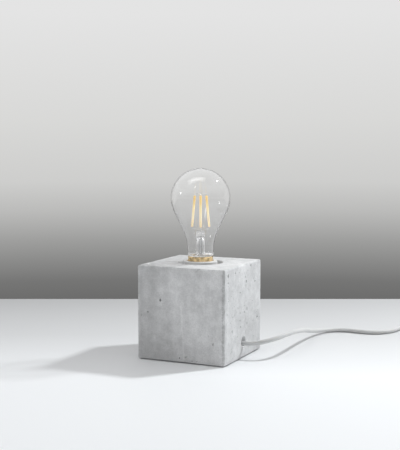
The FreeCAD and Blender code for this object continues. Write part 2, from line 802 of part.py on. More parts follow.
# Bulb: its contact, insulator and threaded cap. Heights start at the contact's tip.
eyelet_rim = "eyelet_diameter / 2"
turned("bulb_contact", [
    ("0", "0"),
    ("eyelet_diameter / 4", "0"),
    (eyelet_rim, "eyelet_thickness / 2"),
    (eyelet_rim, "eyelet_thickness"),
    ("eyelet_neck_diameter / 2", "eyelet_thickness"),
    ("eyelet_neck_diameter / 2", "eyelet_thickness + eyelet_neck_height"),
    ("0", "eyelet_thickness + eyelet_neck_height"),
], z="bulb_base")
neck_hole = "eyelet_neck_diameter / 2 + eyelet_gap"
glass_foot = "eyelet_thickness + eyelet_gap"
lip_hole = "screw_cap_lip_diameter / 2 - small_hole_gap"
shell_inside = "core_radius - screw_cap_wall"
turned("bulb_insulator", [
    (neck_hole, glass_foot),
    ("eyelet_diameter / 2 + screw_cap_wall", glass_foot),
    (lip_hole, "screw_cap_bottom - screw_cap_wall"),
    (lip_hole, "screw_cap_bottom + screw_cap_wall + small_hole_gap"),
    (f"{shell_inside} - small_hole_gap", "screw_cap_bottom + screw_cap_wall + small_hole_gap"),
    (f"{shell_inside} - small_hole_gap", "insulator_top"),
    (neck_hole, "insulator_top"),
], z="bulb_base")
skirt_inside = "screw_cap_skirt_diameter / 2 - screw_cap_wall"
screw_cap = turned("bulb_screw_cap", [
    ("screw_cap_lip_diameter / 2", "screw_cap_bottom"),
    ("core_radius - screw_cap_wall", "screw_cap_bottom"),
    ("core_radius", "screw_cap_bottom + screw_cap_wall"),
    ("core_radius", "screw_cap_shoulder"),
    ("screw_cap_skirt_diameter / 2", "screw_cap_shoulder + screw_cap_wall"),
    ("screw_cap_skirt_diameter / 2", "screw_cap_top"),
    (skirt_inside, "screw_cap_top"),
    (skirt_inside, "screw_cap_shoulder + 2 * screw_cap_wall"),
    (shell_inside, "screw_cap_shoulder + screw_cap_wall"),
    (shell_inside, "screw_cap_bottom + screw_cap_wall"),
    ("screw_cap_lip_diameter / 2", "screw_cap_bottom + screw_cap_wall"),
], z="bulb_base")
helix_ridge(screw_cap, "core_radius", "screw_cap_bottom + screw_cap_thread_start",
            "thread_round", True, "screw_cap_thread_turns")


def envelope(inset):
    """A solid turned to the bulb's outline: a crown, a straight flank, a waist and a neck."""
    crown = mm("glass_diameter") / 2 - inset
    neck = mm("glass_neck_diameter") / 2 - inset
    waist = mm("glass_neck_round") + inset
    seal = mm("glass_seal_diameter") / 2 - inset
    seal_round = mm("glass_seal_round")
    slope = math.radians(mm("glass_flank_angle"))
    centre = mm("glass_top - glass_diameter / 2")
    flank_top = Vector(crown * math.cos(slope), 0, centre - crown * math.sin(slope))
    corner = flank_top.z - (flank_top.x - neck) / math.tan(slope)
    reach = waist * math.tan(slope / 2)
    neck_top = Vector(neck, 0, corner - reach)
    flank_foot = Vector(neck + reach * math.sin(slope), 0, corner + reach * math.cos(slope))
    waist_middle = Vector(neck + waist * (1 - math.cos(slope / 2)), 0,
                          neck_top.z + waist * math.sin(slope / 2))
    crown_middle = Vector(crown * math.cos(math.pi / 6), 0, centre + crown * math.sin(math.pi / 6))
    pole = Vector(0, 0, centre + crown)
    seal_top = mm("glass_seal_height") + seal_round + inset
    shoulder = Vector(neck, 0, seal_top)
    step = neck - seal
    tuck = Vector(seal, 0, seal_top - step)
    tuck_middle = Vector(neck - step * (1 - math.cos(math.pi / 4)), 0,
                         seal_top - step * math.sin(math.pi / 4))
    foot = Vector(seal, 0, mm("glass_bottom"))
    axis_foot = Vector(0, 0, mm("glass_bottom"))
    edges = [
        Part.LineSegment(axis_foot, foot),
        Part.LineSegment(foot, tuck),
        Part.Arc(tuck, tuck_middle, shoulder),
        Part.LineSegment(shoulder, neck_top),
        Part.Arc(neck_top, waist_middle, flank_foot),
        Part.LineSegment(flank_foot, flank_top),
        Part.Arc(flank_top, crown_middle, pole),
        Part.LineSegment(pole, axis_foot),
    ]
    outline_wire = Part.Wire([edge.toShape() for edge in edges])
    return Part.Face(outline_wire).revolve(Vector(), Z_AXIS, 360)


glass = shaped("bulb_glass", envelope(0).cut(envelope(mm("glass_wall"))))
put(glass, z="bulb_base")

# Glass stem: a flare sealed to the neck, a tube, a domed end and the pinched press.
flare_shares = [(1, 0), (0.62, 0.32), (0.2, 0.7), (0, 1)]


def flare(inset):
    radius, tube = "stem_flare_diameter / 2", "stem_tube_diameter / 2"
    return [
        (f"{tube} - {inset} + {out} * ({radius} - {tube})", f"glass_bottom + {up} * stem_flare_height")
        for out, up in flare_shares
    ]


stem = turned("bulb_stem", flare("0") + [
    ("stem_tube_diameter / 2", "stem_tube_top - stem_dome_height / 2"),
    ("stem_press_depth / 2", "stem_tube_top + stem_dome_height / 2"),
    ("0", "stem_tube_top + stem_dome_height / 2"),
    ("0", "stem_tube_top + stem_dome_height / 2 - stem_wall"),
    ("stem_press_depth / 2 - stem_wall / 2", "stem_tube_top + stem_dome_height / 2 - stem_wall"),
    ("stem_tube_diameter / 2 - stem_wall", "stem_tube_top - stem_dome_height / 2 - stem_wall / 2"),
] + flare("stem_wall")[::-1], z="bulb_base", axis=Z_AXIS, angle="filament_azimuth")
pad(stem, outline(new_sketch(stem, "XY_Plane", "stem_tube_top"),
                  box_corners("0", "0", "stem_press_width", "stem_press_depth")),
    "stem_press_height")
exhaust = "stem_tube_top - contact_gap - exhaust_tube_length"
turned("exhaust_tube", tube_corners("exhaust_tube_bore", "exhaust_tube_diameter", "0",
                                    "exhaust_tube_length"), z=f"bulb_base + {exhaust}")

# Filaments, splayed downwards, and the wires that feed and hold them.
filament_run = Vector(mm("filament_top_radius - filament_bottom_radius"), 0,
                      mm("filament_top - filament_bottom"))
filament_lean = math.degrees(math.atan2(filament_run.x, filament_run.z))
azimuths = [
    mm("filament_azimuth") + n * 360 / round(mm("filament_count"))
    for n in range(round(mm("filament_count")))
]


def around(azimuth, radius, height, side=0.0):
    """A point at an azimuth in degrees, measured up from the tip of the bulb's contact."""
    spot = Vector(radius, side, height + mm("bulb_base"))
    return Rotation(Z_AXIS, azimuth).multVec(spot)


for number, azimuth in enumerate(azimuths, start=1):
    rod = doc.addObject("Part::Cylinder", f"filament_{number}")
    bind(rod, Radius="filament_diameter / 2", Height=filament_run.Length)
    foot = around(azimuth, mm("filament_bottom_radius"), mm("filament_bottom"))
    rod.Placement = Placement(foot, Rotation(Z_AXIS, azimuth) * Rotation(Y_AXIS, filament_lean))
    named(rod, f"filament_{number}")


def rounded_path(points):
    """Straight runs joined by tangent arcs, and the radii of the arcs."""
    corner_share = 0.45
    edges, radii = [], []
    start = points[0]
    for before, corner, after in zip(points, points[1:], points[2:]):
        run_in, run_out = corner - before, after - corner
        turn = run_in.getAngle(run_out)
        setback = corner_share * min(run_in.Length, run_out.Length)
        run_in.normalize()
        run_out.normalize()
        enter, leave = corner - run_in * setback, corner + run_out * setback
        radius = setback / math.tan(turn / 2)
        inward = (run_out - run_in).normalize()
        middle = corner + inward * (radius / math.cos(turn / 2) - radius)
        edges.append(Part.LineSegment(start, enter).toShape())
        edges.append(Part.Arc(enter, middle, leave).toShape())
        radii.append(radius)
        start = leave
    edges.append(Part.LineSegment(start, points[-1]).toShape())
    return Part.Wire(edges), radii


def swept(path, diameter, heading):
    """A round rod along a path that starts in the direction of heading."""
    start = path.OrderedVertexes[0].Point
    section = Part.Wire([Part.makeCircle(diameter / 2, start, heading)])
    rod = path.makePipeShell([section], True, False)
    error_share = 0.01
    wanted = math.pi * diameter ** 2 / 4 * path.Length
    if abs(rod.Volume / wanted - 1) > error_share:
        raise RuntimeError(f"a rod has the volume {rod.Volume:.1f} in place of {wanted:.1f}")
    return rod


def wire_rod(points, diameter):
    return swept(rounded_path(points)[0], diameter, points[1] - points[0])


wire = mm("filament_wire_diameter")
press_top = mm("stem_tube_top + stem_press_height")
lean = filament_run.normalize()
press_place_shares = [1.5, 0.5, -1.5, -0.5]
feeds = []
for azimuth, place_share in zip(azimuths, press_place_shares):
    along = place_share * mm("press_wire_spacing")
    foot = around(azimuth, mm("filament_bottom_radius"), mm("filament_bottom"))
    tab = Rotation(Z_AXIS, azimuth).multVec(lean) * mm("filament_tab_length")
    base = around(azimuths[0], along, press_top)
    rise = Vector(0, 0, mm("wire_rise"))
    feeds.append(wire_rod([base, base + rise, foot - tab, foot], wire))
shaped("filament_feed_wires", Part.Compound(feeds))
hub = around(0, 0, mm("hub_height"))
post = Part.makeCylinder(wire / 2, mm("hub_height") - press_top, around(0, 0, press_top))
spokes = []
for azimuth in azimuths:
    crown = around(azimuth, mm("filament_top_radius"), mm("filament_top"))
    tab = Rotation(Z_AXIS, azimuth).multVec(lean) * mm("filament_tab_length")
    start = hub - Vector(0, 0, wire / 2)
    spokes.append(wire_rod([start, crown + tab, crown], wire))
shaped("filament_support", post.multiFuse(spokes))

# Driver in the bulb's cap: a round board with a capacitor, a rectifier and leads.
board_top = "bulb_base + driver_board_height + driver_board_thickness"
board = put(new_body("driver_board"), z="bulb_base + driver_board_height")
pad(board, circles(new_sketch(board, "XY_Plane"), [("0", "0", "2 * driver_board_radius")]),
    "driver_board_thickness")
pocket(board, circles(new_sketch(board, "XY_Plane"), [("0", "0", "driver_board_hole")]),
       "driver_board_thickness", up=True)
named(cylinder("capacitor_diameter", "capacitor_height", x="capacitor_offset", z=board_top),
      "driver_capacitor")
named(block("rectifier_width", "rectifier_length", "rectifier_height", x="rectifier_offset",
            z=board_top), "driver_rectifier")
lead_low = "eyelet_thickness + eyelet_neck_height + contact_gap"
leads = [cylinder("driver_lead_diameter", f"driver_board_height - ({lead_low})",
                  z=f"bulb_base + {lead_low}")]
for side in ("90", "270"):
    x, y = polar("stem_lead_offset", f"filament_azimuth + {side}")
    leads.append(cylinder("stem_lead_diameter", "stem_lead_length", x=x, y=y, z=board_top))
fused(leads, "driver_leads")

# Mains cord. The points of its routes, in millimetres, are chosen by hand.
inner_route = [
    (50.0, 0.0, 15.6), (36.0, -0.42, 14.97), (20.0, -1.8, 14.0), (9.5, -1.3, 14.8),
    (2.0, -0.5, 20.4),
]
# The end of the inner cord goes up through the nipple: it is chosen from the web's underside.
nipple_route = [(0.1, 0.1, -1.5), (0.0, 0.0, 11.5), (0.0, 0.0, 24.0)]
inner_route += [(x, y, z + mm("web_bottom")) for x, y, z in nipple_route]
lead_route = [
    (50.0, 0.0, 15.6), (61.0, 0.33, 16.1), (73.2, 3.2, 19.0), (83.9, 11.8, 22.1),
    (90.1, 26.3, 24.2), (91.6, 45.0, 23.8), (90.2, 66.8, 20.2), (87.2, 90.0, 14.6),
    (84.7, 113.0, 8.9), (84.8, 134.5, 4.4), (89.2, 153.5, 2.5), (98.8, 168.2, 2.5),
    (112.2, 177.0, 2.5), (127.4, 179.5, 2.5), (142.4, 181.6, 2.5), (154.8, 189.2, 2.5),
    (162.6, 202.4, 2.5), (164.8, 217.4, 2.5), (168.6, 231.2, 2.5), (177.2, 242.0, 2.5),
    (190.2, 247.6, 2.6), (204.3, 246.4, 3.1), (216.1, 238.6, 4.2), (222.8, 226.2, 5.8),
    (223.1, 208.5, 8.1), (222.0, 191.5, 9.0), (222.0, 182.0, 9.0),
]
link_route = [
    (222.0, 137.0, 9.0), (222.0, 128.5, 9.0), (222.3, 119.5, 8.4), (222.9, 108.0, 6.6),
    (223.0, 94.5, 4.6), (222.3, 82.0, 3.7), (222.0, 72.0, 3.6), (222.0, 65.0, 3.6),
]
tail_route = [
    (294.0, 65.0, 9.05), (294.0, 72.0, 9.05), (292.2, 82.0, 8.7), (288.3, 93.0, 8.0),
    (284.6, 103.0, 7.2), (283.0, 112.5, 6.85), (283.0, 119.0, 6.85),
]


def points(route):
    return [Vector(*spot) for spot in route]


def cord_tube(label, route):
    path, radii = rounded_path(points(route))
    tube = swept(path, mm("cord_diameter"), points(route)[1] - points(route)[0])
    rounded = [round(radius, 1) for radius in radii]
    share = tube.Volume / (math.pi * mm("cord_diameter") ** 2 / 4 * path.Length)
    print(f"{label}: length {path.Length:.1f}, radii {rounded}, volume share {share:.4f}")
    return shaped(label, tube)


cord_tube("inner_cord", inner_route)
cord_tube("cord_lead", lead_route)
cord_tube("cord_link", link_route)
cord_tube("cord_tail", tail_route)

# Tie round the inner cord that stops it at the outlet.
tie_from, tie_to = points(inner_route)[1:3]
tie_line = (tie_to - tie_from).normalize()
tie_start = tie_from + tie_line * mm("stop_tie_width * 2")
tie_bore = mm("cord_diameter / 2 + cord_fit_gap")
tie_outer = tie_bore + mm("stop_tie_thickness")
tie_width, head_side = mm("stop_tie_width"), mm("stop_tie_head")
band = Part.makeCylinder(tie_outer, tie_width, tie_start, tie_line)
head = Part.makeBox(tie_width, head_side, head_side,
                    Vector(tie_start.x - tie_width, tie_start.y - head_side / 2,
                           tie_start.z + tie_bore))
bore = Part.makeCylinder(tie_bore, 3 * tie_width, tie_start - tie_line * tie_width, tie_line)
shaped("cord_stop_tie", band.fuse(head).cut(bore))

# The two cores from the end of the sheath to the terminals.
sheath_end = points(inner_route)[-1]
core_side = mm("terminal_head_diameter + core_diameter") / 2 + mm("small_hole_gap")
core_top = mm("disc_bottom + terminal_recess_depth") - mm("small_hole_gap")
core_rise_share = 1.5
for label, side in (("live_core", -1), ("neutral_core", 1)):
    start = sheath_end + Vector(side * mm("core_spacing") / 2, 0, 0)
    bend = start + Vector(0, 0, core_rise_share * mm("core_diameter"))
    end = Vector(side * mm("terminal_offset"), core_side, core_top)
    lead_in = end - Vector(0, 0, mm("terminal_recess_depth + core_diameter / 2"))
    shaped(label, wire_rod([start, bend, lead_in, end], mm("core_diameter")))


def biarc(start, heading, end, last_heading):
    """Two arcs that leave start and reach end in the given directions."""
    chord = end - start
    both = heading + last_heading
    spread = 2 * (1 - heading.dot(last_heading))
    lean = chord.dot(both)
    reach = (math.sqrt(lean ** 2 + spread * chord.dot(chord)) - lean) / spread
    first, last = start + heading * reach, end - last_heading * reach
    joint = (first + last) / 2
    arcs = []
    for near, corner, far in ((start, first, joint), (joint, last, end)):
        middle = (near + far) / 2
        half = near.distanceToPoint(far) / 2
        bulge = (corner - middle) * (half / (reach + half))
        arcs.append(Part.Arc(near, middle + bulge, far).toShape())
    return arcs


# Coil of the cord put away: loops spiral in on the table and out again above.
diameter = mm("cord_diameter")
coil_start = points(link_route)[-1]
outer = mm("coil_outer_radius")
coil_centre = Vector(coil_start.x + outer, coil_start.y - diameter, 0)
turn_pitch, layer_pitch = mm("coil_turn_pitch"), mm("coil_layer_pitch")
layer_turns = mm("coil_layer_turns")
coil_turns = 2 * layer_turns + 0.5
turning = coil_turns / 2
low = diameter / 2 + mm("coil_lift")


def coil_point(turns):
    """The point of the coil after a number of turns from its outer end."""
    climb = min(max((turns - layer_turns) * 2, 0), 1)
    radius = outer - turn_pitch * (turning - abs(turns - turning))
    rise = layer_pitch * climb * climb * (3 - 2 * climb)
    angle = math.pi + 2 * math.pi * turns
    return Vector(coil_centre.x + radius * math.cos(angle),
                  coil_centre.y + radius * math.sin(angle), low + rise)


def coil_heading(turns):
    step = 1e-4
    return (coil_point(turns + step) - coil_point(turns - step)).normalize()


quarters = round(coil_turns * 4)
stops = [n / 4 for n in range(quarters + 1)]
headings = [coil_heading(turns) for turns in stops]
headings[0], headings[-1] = Vector(0, -1, 0), Vector(0, 1, 0)
coil_edges = [Part.LineSegment(coil_start, coil_point(0)).toShape()]
for turns, later, heading, next_heading in zip(stops, stops[1:], headings, headings[1:]):
    coil_edges += biarc(coil_point(turns), heading, coil_point(later), next_heading)
coil_end = coil_point(coil_turns)
coil_edges.append(Part.LineSegment(coil_end, coil_end + Vector(0, diameter, 0)).toShape())
coil_path = Part.Wire(coil_edges)
shaped("cord_coil", swept(coil_path, diameter, Vector(0, -1, 0)))
samples = coil_path.discretize(Number=900)
spacing = coil_path.Length / (len(samples) - 1)
skip = round(3 * diameter / spacing)
least = min(
    samples[i].distanceToPoint(samples[j])
    for i in range(len(samples)) for j in range(i + skip, len(samples))
) - diameter
print(f"cord_coil: length {coil_path.Length:.1f}, least gap to itself {least:.2f}")

# Strap that holds the coil together and keeps it just off the table.
strap_place_share = 0.75
strap_turns = [n + strap_place_share for n in range(round(layer_turns))]
strap_radii = [outer - turn_pitch * turns for turns in strap_turns]
strap_gap, strap_side_gap = mm("tie_gap"), mm("tie_side_gap")
strap_thickness = mm("tie_thickness")
strap_corner, strap_width = mm("tie_corner_radius"), mm("tie_width")
strap_depth = max(strap_radii) - min(strap_radii) + diameter + 2 * strap_side_gap
strap_height = layer_pitch + diameter + 2 * strap_gap
strap_y = coil_centre.y + min(strap_radii) - diameter / 2 - strap_side_gap


def strap_block(grow, corner):
    """The strap's window, grown on every side and rounded along the cord."""
    solid = Part.makeBox(
        strap_width, strap_depth + 2 * grow, strap_height + 2 * grow,
        Vector(coil_centre.x - strap_width / 2, strap_y - grow, strap_thickness - grow),
    )
    along = [edge for edge in solid.Edges if edge.BoundBox.XLength > strap_width / 2]
    return solid.makeFillet(corner, along)


shaped("coil_tie", strap_block(strap_thickness, strap_corner + strap_thickness).cut(
    strap_block(0, strap_corner)))

# Inline switch, in a frame of its own: x along the cord, y across it, z up.
lead_end, link_start = points(lead_route)[-1], points(link_route)[0]
switch_centre = Vector(lead_end.x, (lead_end.y + link_start.y) / 2, 0)
switch_frame = Placement(switch_centre, Rotation(Z_AXIS, -90))
ends = (-1, 1)


def in_frame(thing, frame):
    """Place a sub-part, drawn in the frame of its group, in the frame of the lamp."""
    thing.Placement = frame
    return thing


def lifted(frame, height, lean=0.0):
    """A frame raised to a height and leant about its own y axis."""
    return frame.multiply(Placement(Vector(0, 0, height), Rotation(Y_AXIS, lean)))


def boxed(body, lift, x, y, width, depth, height, up=None):
    """A block added to the body, or cut out of it when a direction is given."""
    sketch = outline(new_sketch(body, "XY_Plane", lift), box_corners(x, y, width, depth))
    return pad(body, sketch, height) if up is None else pocket(body, sketch, height, up)


case_screw_spots = [(f"{-a} * case_screw_place", f"{a} * case_screw_side") for a in ends]
clamp_spots = [
    (f"{a} * clamp_place", f"{b} * clamp_screw_side") for a in ends for b in ends
]
case_screw_hole = "case_screw_diameter + 2 * small_hole_gap"


def case_half(label, height, opening, closed, frame):
    """A half of the case: a rounded tray, open at one height and closed at the other."""
    body = in_frame(new_body(label), frame)
    boxed(body, "0", "0", "0", "switch_length", "switch_width", height)
    soften(body, "switch_corner_radius", upright)
    doc.recompute()
    tip = body.Tip
    open_faces = [
        f"Face{n}" for n, face in enumerate(tip.Shape.Faces, start=1)
        if level_at(face, mm(opening))
    ]
    walls = body.newObject("PartDesign::Thickness", label + "_walls")
    walls.Base = (tip, open_faces)
    walls.Reversed = True
    bind(walls, Value="switch_wall")
    soften(body, "switch_edge_radius", lambda edge: level_at(edge, mm(closed)))
    return body


def cord_channel(body, height):
    channel = circles(new_sketch(body, "YZ_Plane"),
                      [("0", height, "cord_diameter + 2 * cord_channel_gap")])
    pocket(body, channel, "switch_length + 2 * cut_overrun", both=True)


lower = case_half("switch_lower_case", "switch_lower_height", "switch_lower_height", "0",
                  switch_frame)
cord_channel(lower, "switch_lower_height")
for end in ends:
    boxed(lower, "switch_wall", f"{end} * clamp_place", "0", "clamp_rib_width",
          "clamp_rib_length", "switch_lower_height - cord_diameter / 2 - cord_fit_gap - switch_wall")
pad(lower, circles(new_sketch(lower, "XY_Plane", "switch_wall"),
                   [(x, y, "clamp_post_diameter") for x, y in clamp_spots]),
    "switch_lower_height + cord_diameter / 2 - switch_wall")
pad(lower, circles(new_sketch(lower, "XY_Plane", "switch_wall"),
                   [(x, y, "case_boss_diameter") for x, y in case_screw_spots]),
    "switch_lower_height - switch_wall")
clamp_screw_tip = "clamp_bar_bottom + clamp_bar_thickness - clamp_screw_length"
pocket(lower, circles(new_sketch(lower, "XY_Plane", "switch_lower_height + cord_diameter / 2"),
                      [(x, y, case_screw_hole) for x, y in clamp_spots]),
       f"switch_lower_height + cord_diameter / 2 - ({clamp_screw_tip}) + screw_hole_gap")
pocket(lower, circles(new_sketch(lower, "XY_Plane"),
                      [(x, y, case_screw_hole) for x, y in case_screw_spots]),
       "switch_lower_height", up=True)
pocket(lower, circles(new_sketch(lower, "XY_Plane"),
                      [(x, y, "case_screw_head_diameter + 2 * screw_hole_gap")
                       for x, y in case_screw_spots]),
       "case_screw_seat", up=True)

upper = case_half("switch_upper_case", "switch_upper_height", "0", "switch_upper_height",
                  lifted(switch_frame, mm("switch_lower_height")))
cord_channel(upper, "0")
for side in ends:
    boxed(upper, "switch_roof - cheek_drop", "0",
          f"{side} * (rocker_width / 2 + cheek_side_gap + cheek_thickness / 2)",
          "cheek_width", "cheek_thickness", "cheek_drop")
pad(upper, circles(new_sketch(upper, "XY_Plane"),
                   [(x, y, "case_boss_diameter") for x, y in case_screw_spots]), "switch_roof")
pocket(upper, circles(new_sketch(upper, "XY_Plane"),
                      [(x, y, case_screw_hole) for x, y in case_screw_spots]),
       "case_screw_length - switch_lower_height + case_screw_seat + screw_hole_gap", up=True)
boxed(upper, "switch_upper_height", "0", "0", "switch_window_length", "switch_window_width",
      "switch_wall", False)
pivot_bore = circles(new_sketch(upper, "XZ_Plane"),
                     [("0", "rocker_pivot_height - switch_lower_height",
                       "trunnion_diameter + 2 * trunnion_gap")])
pocket(upper, pivot_bore, "rocker_width + 2 * cheek_side_gap + 2 * cheek_thickness", both=True)

# Rocker, in the frame of its pivot, with the sprung plunger inside its boss.
rocker_frame = lifted(switch_frame, mm("rocker_pivot_height"), -mm("rocker_rest_angle"))
rocker = in_frame(new_body("switch_rocker"), rocker_frame)
pad(rocker, outline(new_sketch(rocker, "XZ_Plane"), [
    ("-rocker_length / 2", "-rocker_foot"),
    ("rocker_length / 2", "-rocker_foot"),
    ("rocker_crown_length / 2", "rocker_shoulder"),
    ("0", "rocker_crown"),
    ("-rocker_crown_length / 2", "rocker_shoulder"),
]), "rocker_width", both=True)
soften(rocker, "rocker_edge_radius",
       lambda edge: edge.BoundBox.ZMin > mm("rocker_shoulder") - 1e-5)
boxed(rocker, "-rocker_boss_depth", "0", "0", "rocker_boss_side", "rocker_boss_side",
      "rocker_boss_depth - rocker_foot")
pad(rocker, circles(new_sketch(rocker, "XZ_Plane"), [("0", "0", "trunnion_diameter")]),
    "rocker_width + 2 * trunnion_length", both=True)
pocket(rocker, circles(new_sketch(rocker, "XY_Plane", "-rocker_boss_depth"),
                       [("0", "0", "plunger_diameter + 2 * plunger_bore_gap")]),
       "plunger_bore_depth", up=True)
in_frame(revolve(new_body("rocker_plunger"), [
    ("0", "-plunger_reach"),
    ("plunger_diameter / 2", "-plunger_reach"),
    ("plunger_diameter / 2", "plunger_length - plunger_reach"),
    ("0", "plunger_length - plunger_reach"),
]), rocker_frame)
spring_wire, spring_turns = mm("spring_wire"), round(mm("spring_turns"))
spring_bottom = mm("plunger_length - plunger_reach") + spring_wire / 2
spring_top = mm("plunger_bore_depth - rocker_boss_depth") - spring_wire / 2
spring_pitch = (spring_top - spring_bottom) / spring_turns


def spring_point(turns):
    angle = 2 * math.pi * turns
    radius = mm("spring_diameter") / 2
    return Vector(radius * math.cos(angle), radius * math.sin(angle),
                  spring_bottom + spring_pitch * turns)


def spring_heading(turns):
    angle = 2 * math.pi * turns
    reach = math.pi * mm("spring_diameter")
    return Vector(-reach * math.sin(angle), reach * math.cos(angle), spring_pitch).normalize()


spring_edges = []
for quarter in range(4 * spring_turns):
    turns, later = quarter / 4, (quarter + 1) / 4
    spring_edges += biarc(spring_point(turns), spring_heading(turns),
                          spring_point(later), spring_heading(later))
spring = swept(Part.Wire(spring_edges), spring_wire, spring_heading(0))
in_frame(shaped("plunger_spring", spring), rocker_frame)

# Contact bridge that rocks on a ridge and closes the live side.
bridge = fused([
    block("bridge_length", "bridge_width", "bridge_thickness"),
    cylinder("rivet_diameter", "bridge_rivet_height", x="-rivet_place", z="-bridge_rivet_height"),
], "contact_bridge")
in_frame(bridge, lifted(switch_frame, mm("bridge_height"), mm("bridge_rest_angle")))

# Terminal blocks of the switch and the arms that the bridge closes.
entry_hole = "core_diameter + 2 * wire_entry_gap"


def terminal(label, side_y, width, places_x, length):
    """A block with a screw hole and a wire entry for each place along x."""
    body = in_frame(new_body(label), switch_frame)
    middle = " + ".join(f"({place})" for place in places_x)
    boxed(body, "switch_wall", f"({middle}) / {len(places_x)}", side_y, length, width,
          "terminal_block_height")
    pocket(body, circles(new_sketch(body, "XY_Plane", "terminal_block_top"),
                         [(x, side_y, case_screw_hole) for x in places_x]),
           "block_screw_length + screw_hole_gap")
    for x in places_x:
        inward = mm(x) < 0
        face = f"{x} + {-1 if inward else 1} * terminal_block_length / 2"
        entry = circles(new_sketch(body, "YZ_Plane", face),
                        [(side_y, "switch_wall + wire_entry_height", entry_hole)])
        pocket(body, entry, "wire_entry_depth", up=inward)
    return body


arm_centre = "-contact_arm_width / 4"
live_in = terminal("switch_live_in", "-live_side", "terminal_block_width",
                   ["-terminal_place"], "terminal_block_length")
arm_end = "rivet_place - rivet_diameter / 2 - small_hole_gap"
arm_from = "terminal_place - terminal_block_length / 2"
boxed(live_in, "switch_wall", f"-({arm_from} + {arm_end}) / 2", arm_centre,
      f"{arm_from} - ({arm_end})", "contact_arm_width", "contact_arm_thickness")
pad(live_in, circles(new_sketch(live_in, "XY_Plane", "contact_arm_top"),
                     [("-rivet_place", "0", "rivet_diameter")]), "rivet_height")
live_out = terminal("switch_live_out", "-live_side", "terminal_block_width",
                    ["terminal_place"], "terminal_block_length")
boxed(live_out, "switch_wall", f"({arm_from} - bridge_ridge_width / 2) / 2", arm_centre,
      f"{arm_from} + bridge_ridge_width / 2", "contact_arm_width", "contact_arm_thickness")
ridge_sketch = outline(new_sketch(live_out, "XZ_Plane"), [
    ("-bridge_ridge_width / 2", "contact_arm_top"),
    ("bridge_ridge_width / 2", "contact_arm_top"),
    ("0", "bridge_height - bridge_ridge_gap"),
])
pad(live_out, ridge_sketch, "bridge_width", both=True)
terminal("switch_neutral_bar", "neutral_side", "neutral_bar_width",
         ["-terminal_place", "terminal_place"], "2 * terminal_place + terminal_block_length")
block_screw_spots = [
    (f"{a} * terminal_place", side, "terminal_block_top")
    for a in ends for side in ("-live_side", "neutral_side")
]
in_frame(screws("switch_block_screws", block_screw_spots, "case_screw_diameter",
                "block_screw_length", "case_screw_head_diameter", "block_screw_head_height"),
         switch_frame)

# Cores inside the switch, from the ends of the sheath to the blocks.
core = mm("core_diameter")
core_height = mm("switch_wall + wire_entry_height")
sheath_x = (lead_end.y - link_start.y) / 2
block_face = mm("terminal_place + terminal_block_length / 2")
cores = []
for end in ends:
    for side, side_y in ((-1, -mm("live_side")), (1, mm("neutral_side"))):
        start = Vector(end * sheath_x, side * mm("core_spacing") / 2, mm("switch_lower_height"))
        finish = Vector(end * (block_face - mm("wire_entry_depth")), side_y, core_height)
        turn_in = start - Vector(end * core, 0, 0)
        turn_out = Vector(end * (block_face + core), side_y, core_height)
        cores.append(wire_rod([start, turn_in, turn_out, finish], core))
in_frame(shaped("switch_wires", Part.Compound(cores)), switch_frame)

# Clamps on the sheath, their screws and the screws of the case.
bars = []
for end in ends:
    place = f"{end} * clamp_place"
    bar = block("clamp_bar_width", "clamp_bar_length", "clamp_bar_thickness", place, "0",
                "clamp_bar_bottom")
    holes = fused([
        cylinder("case_screw_diameter + 2 * screw_hole_gap", "clamp_bar_thickness", x=place,
                 y=f"{side} * clamp_screw_side", z="clamp_bar_bottom")
        for side in ends
    ])
    bars.append(cut(bar, holes))
in_frame(fused(bars, "switch_cord_clamps"), switch_frame)
in_frame(screws("switch_clamp_screws",
                [(x, y, "clamp_bar_bottom + clamp_bar_thickness") for x, y in clamp_spots],
                "case_screw_diameter", "clamp_screw_length", "case_screw_head_diameter",
                "clamp_screw_head_height"), switch_frame)
in_frame(screws("switch_case_screws", [(x, y, "case_screw_seat") for x, y in case_screw_spots],
                "case_screw_diameter", "case_screw_length", "case_screw_head_diameter",
                "case_screw_head_height", point_up=True), switch_frame)

# Plug, in a frame of its own: x towards the pins, z up from its axis.
tail_end = points(tail_route)[-1]
plug_frame = Placement(tail_end + Vector(0, mm("sleeve_length"), 0), Rotation(Z_AXIS, 90))
plug = in_frame(new_body("plug_body"), plug_frame)
plug_side = [
    ("0", "plug_neck_width / 2"),
    ("plug_waist_length", "plug_waist_width / 2"),
    ("plug_shoulder_length", "plug_width / 2"),
    ("plug_length", "plug_width / 2"),
]
pad(plug, outline(new_sketch(plug, "XY_Plane"),
                  plug_side[::-1] + [(x, f"-({y})") for x, y in plug_side]),
    "plug_thickness", both=True)
soften(plug, "plug_corner_radius", upright)
soften(plug, "plug_edge_radius",
       lambda edge: edge.BoundBox.ZLength < 1e-5 and edge.BoundBox.ZMin > mm("plug_edge_radius"))
soften(plug, "plug_edge_radius",
       lambda edge: edge.BoundBox.ZLength < 1e-5 and edge.BoundBox.ZMin < -mm("plug_edge_radius")
       and edge.BoundBox.ZMin < 1e-5 - mm("plug_thickness") / 2)
pin_places = [f"{side} * pin_spacing / 2" for side in ends]
pocket(plug, circles(new_sketch(plug, "YZ_Plane", "plug_length"),
                     [(place, "0", "pin_core_diameter") for place in pin_places]), "pin_root")


def along_x(diameter, start, length, y):
    return cylinder(diameter, length, axis=Y_AXIS, angle="90", x=start, y=y)


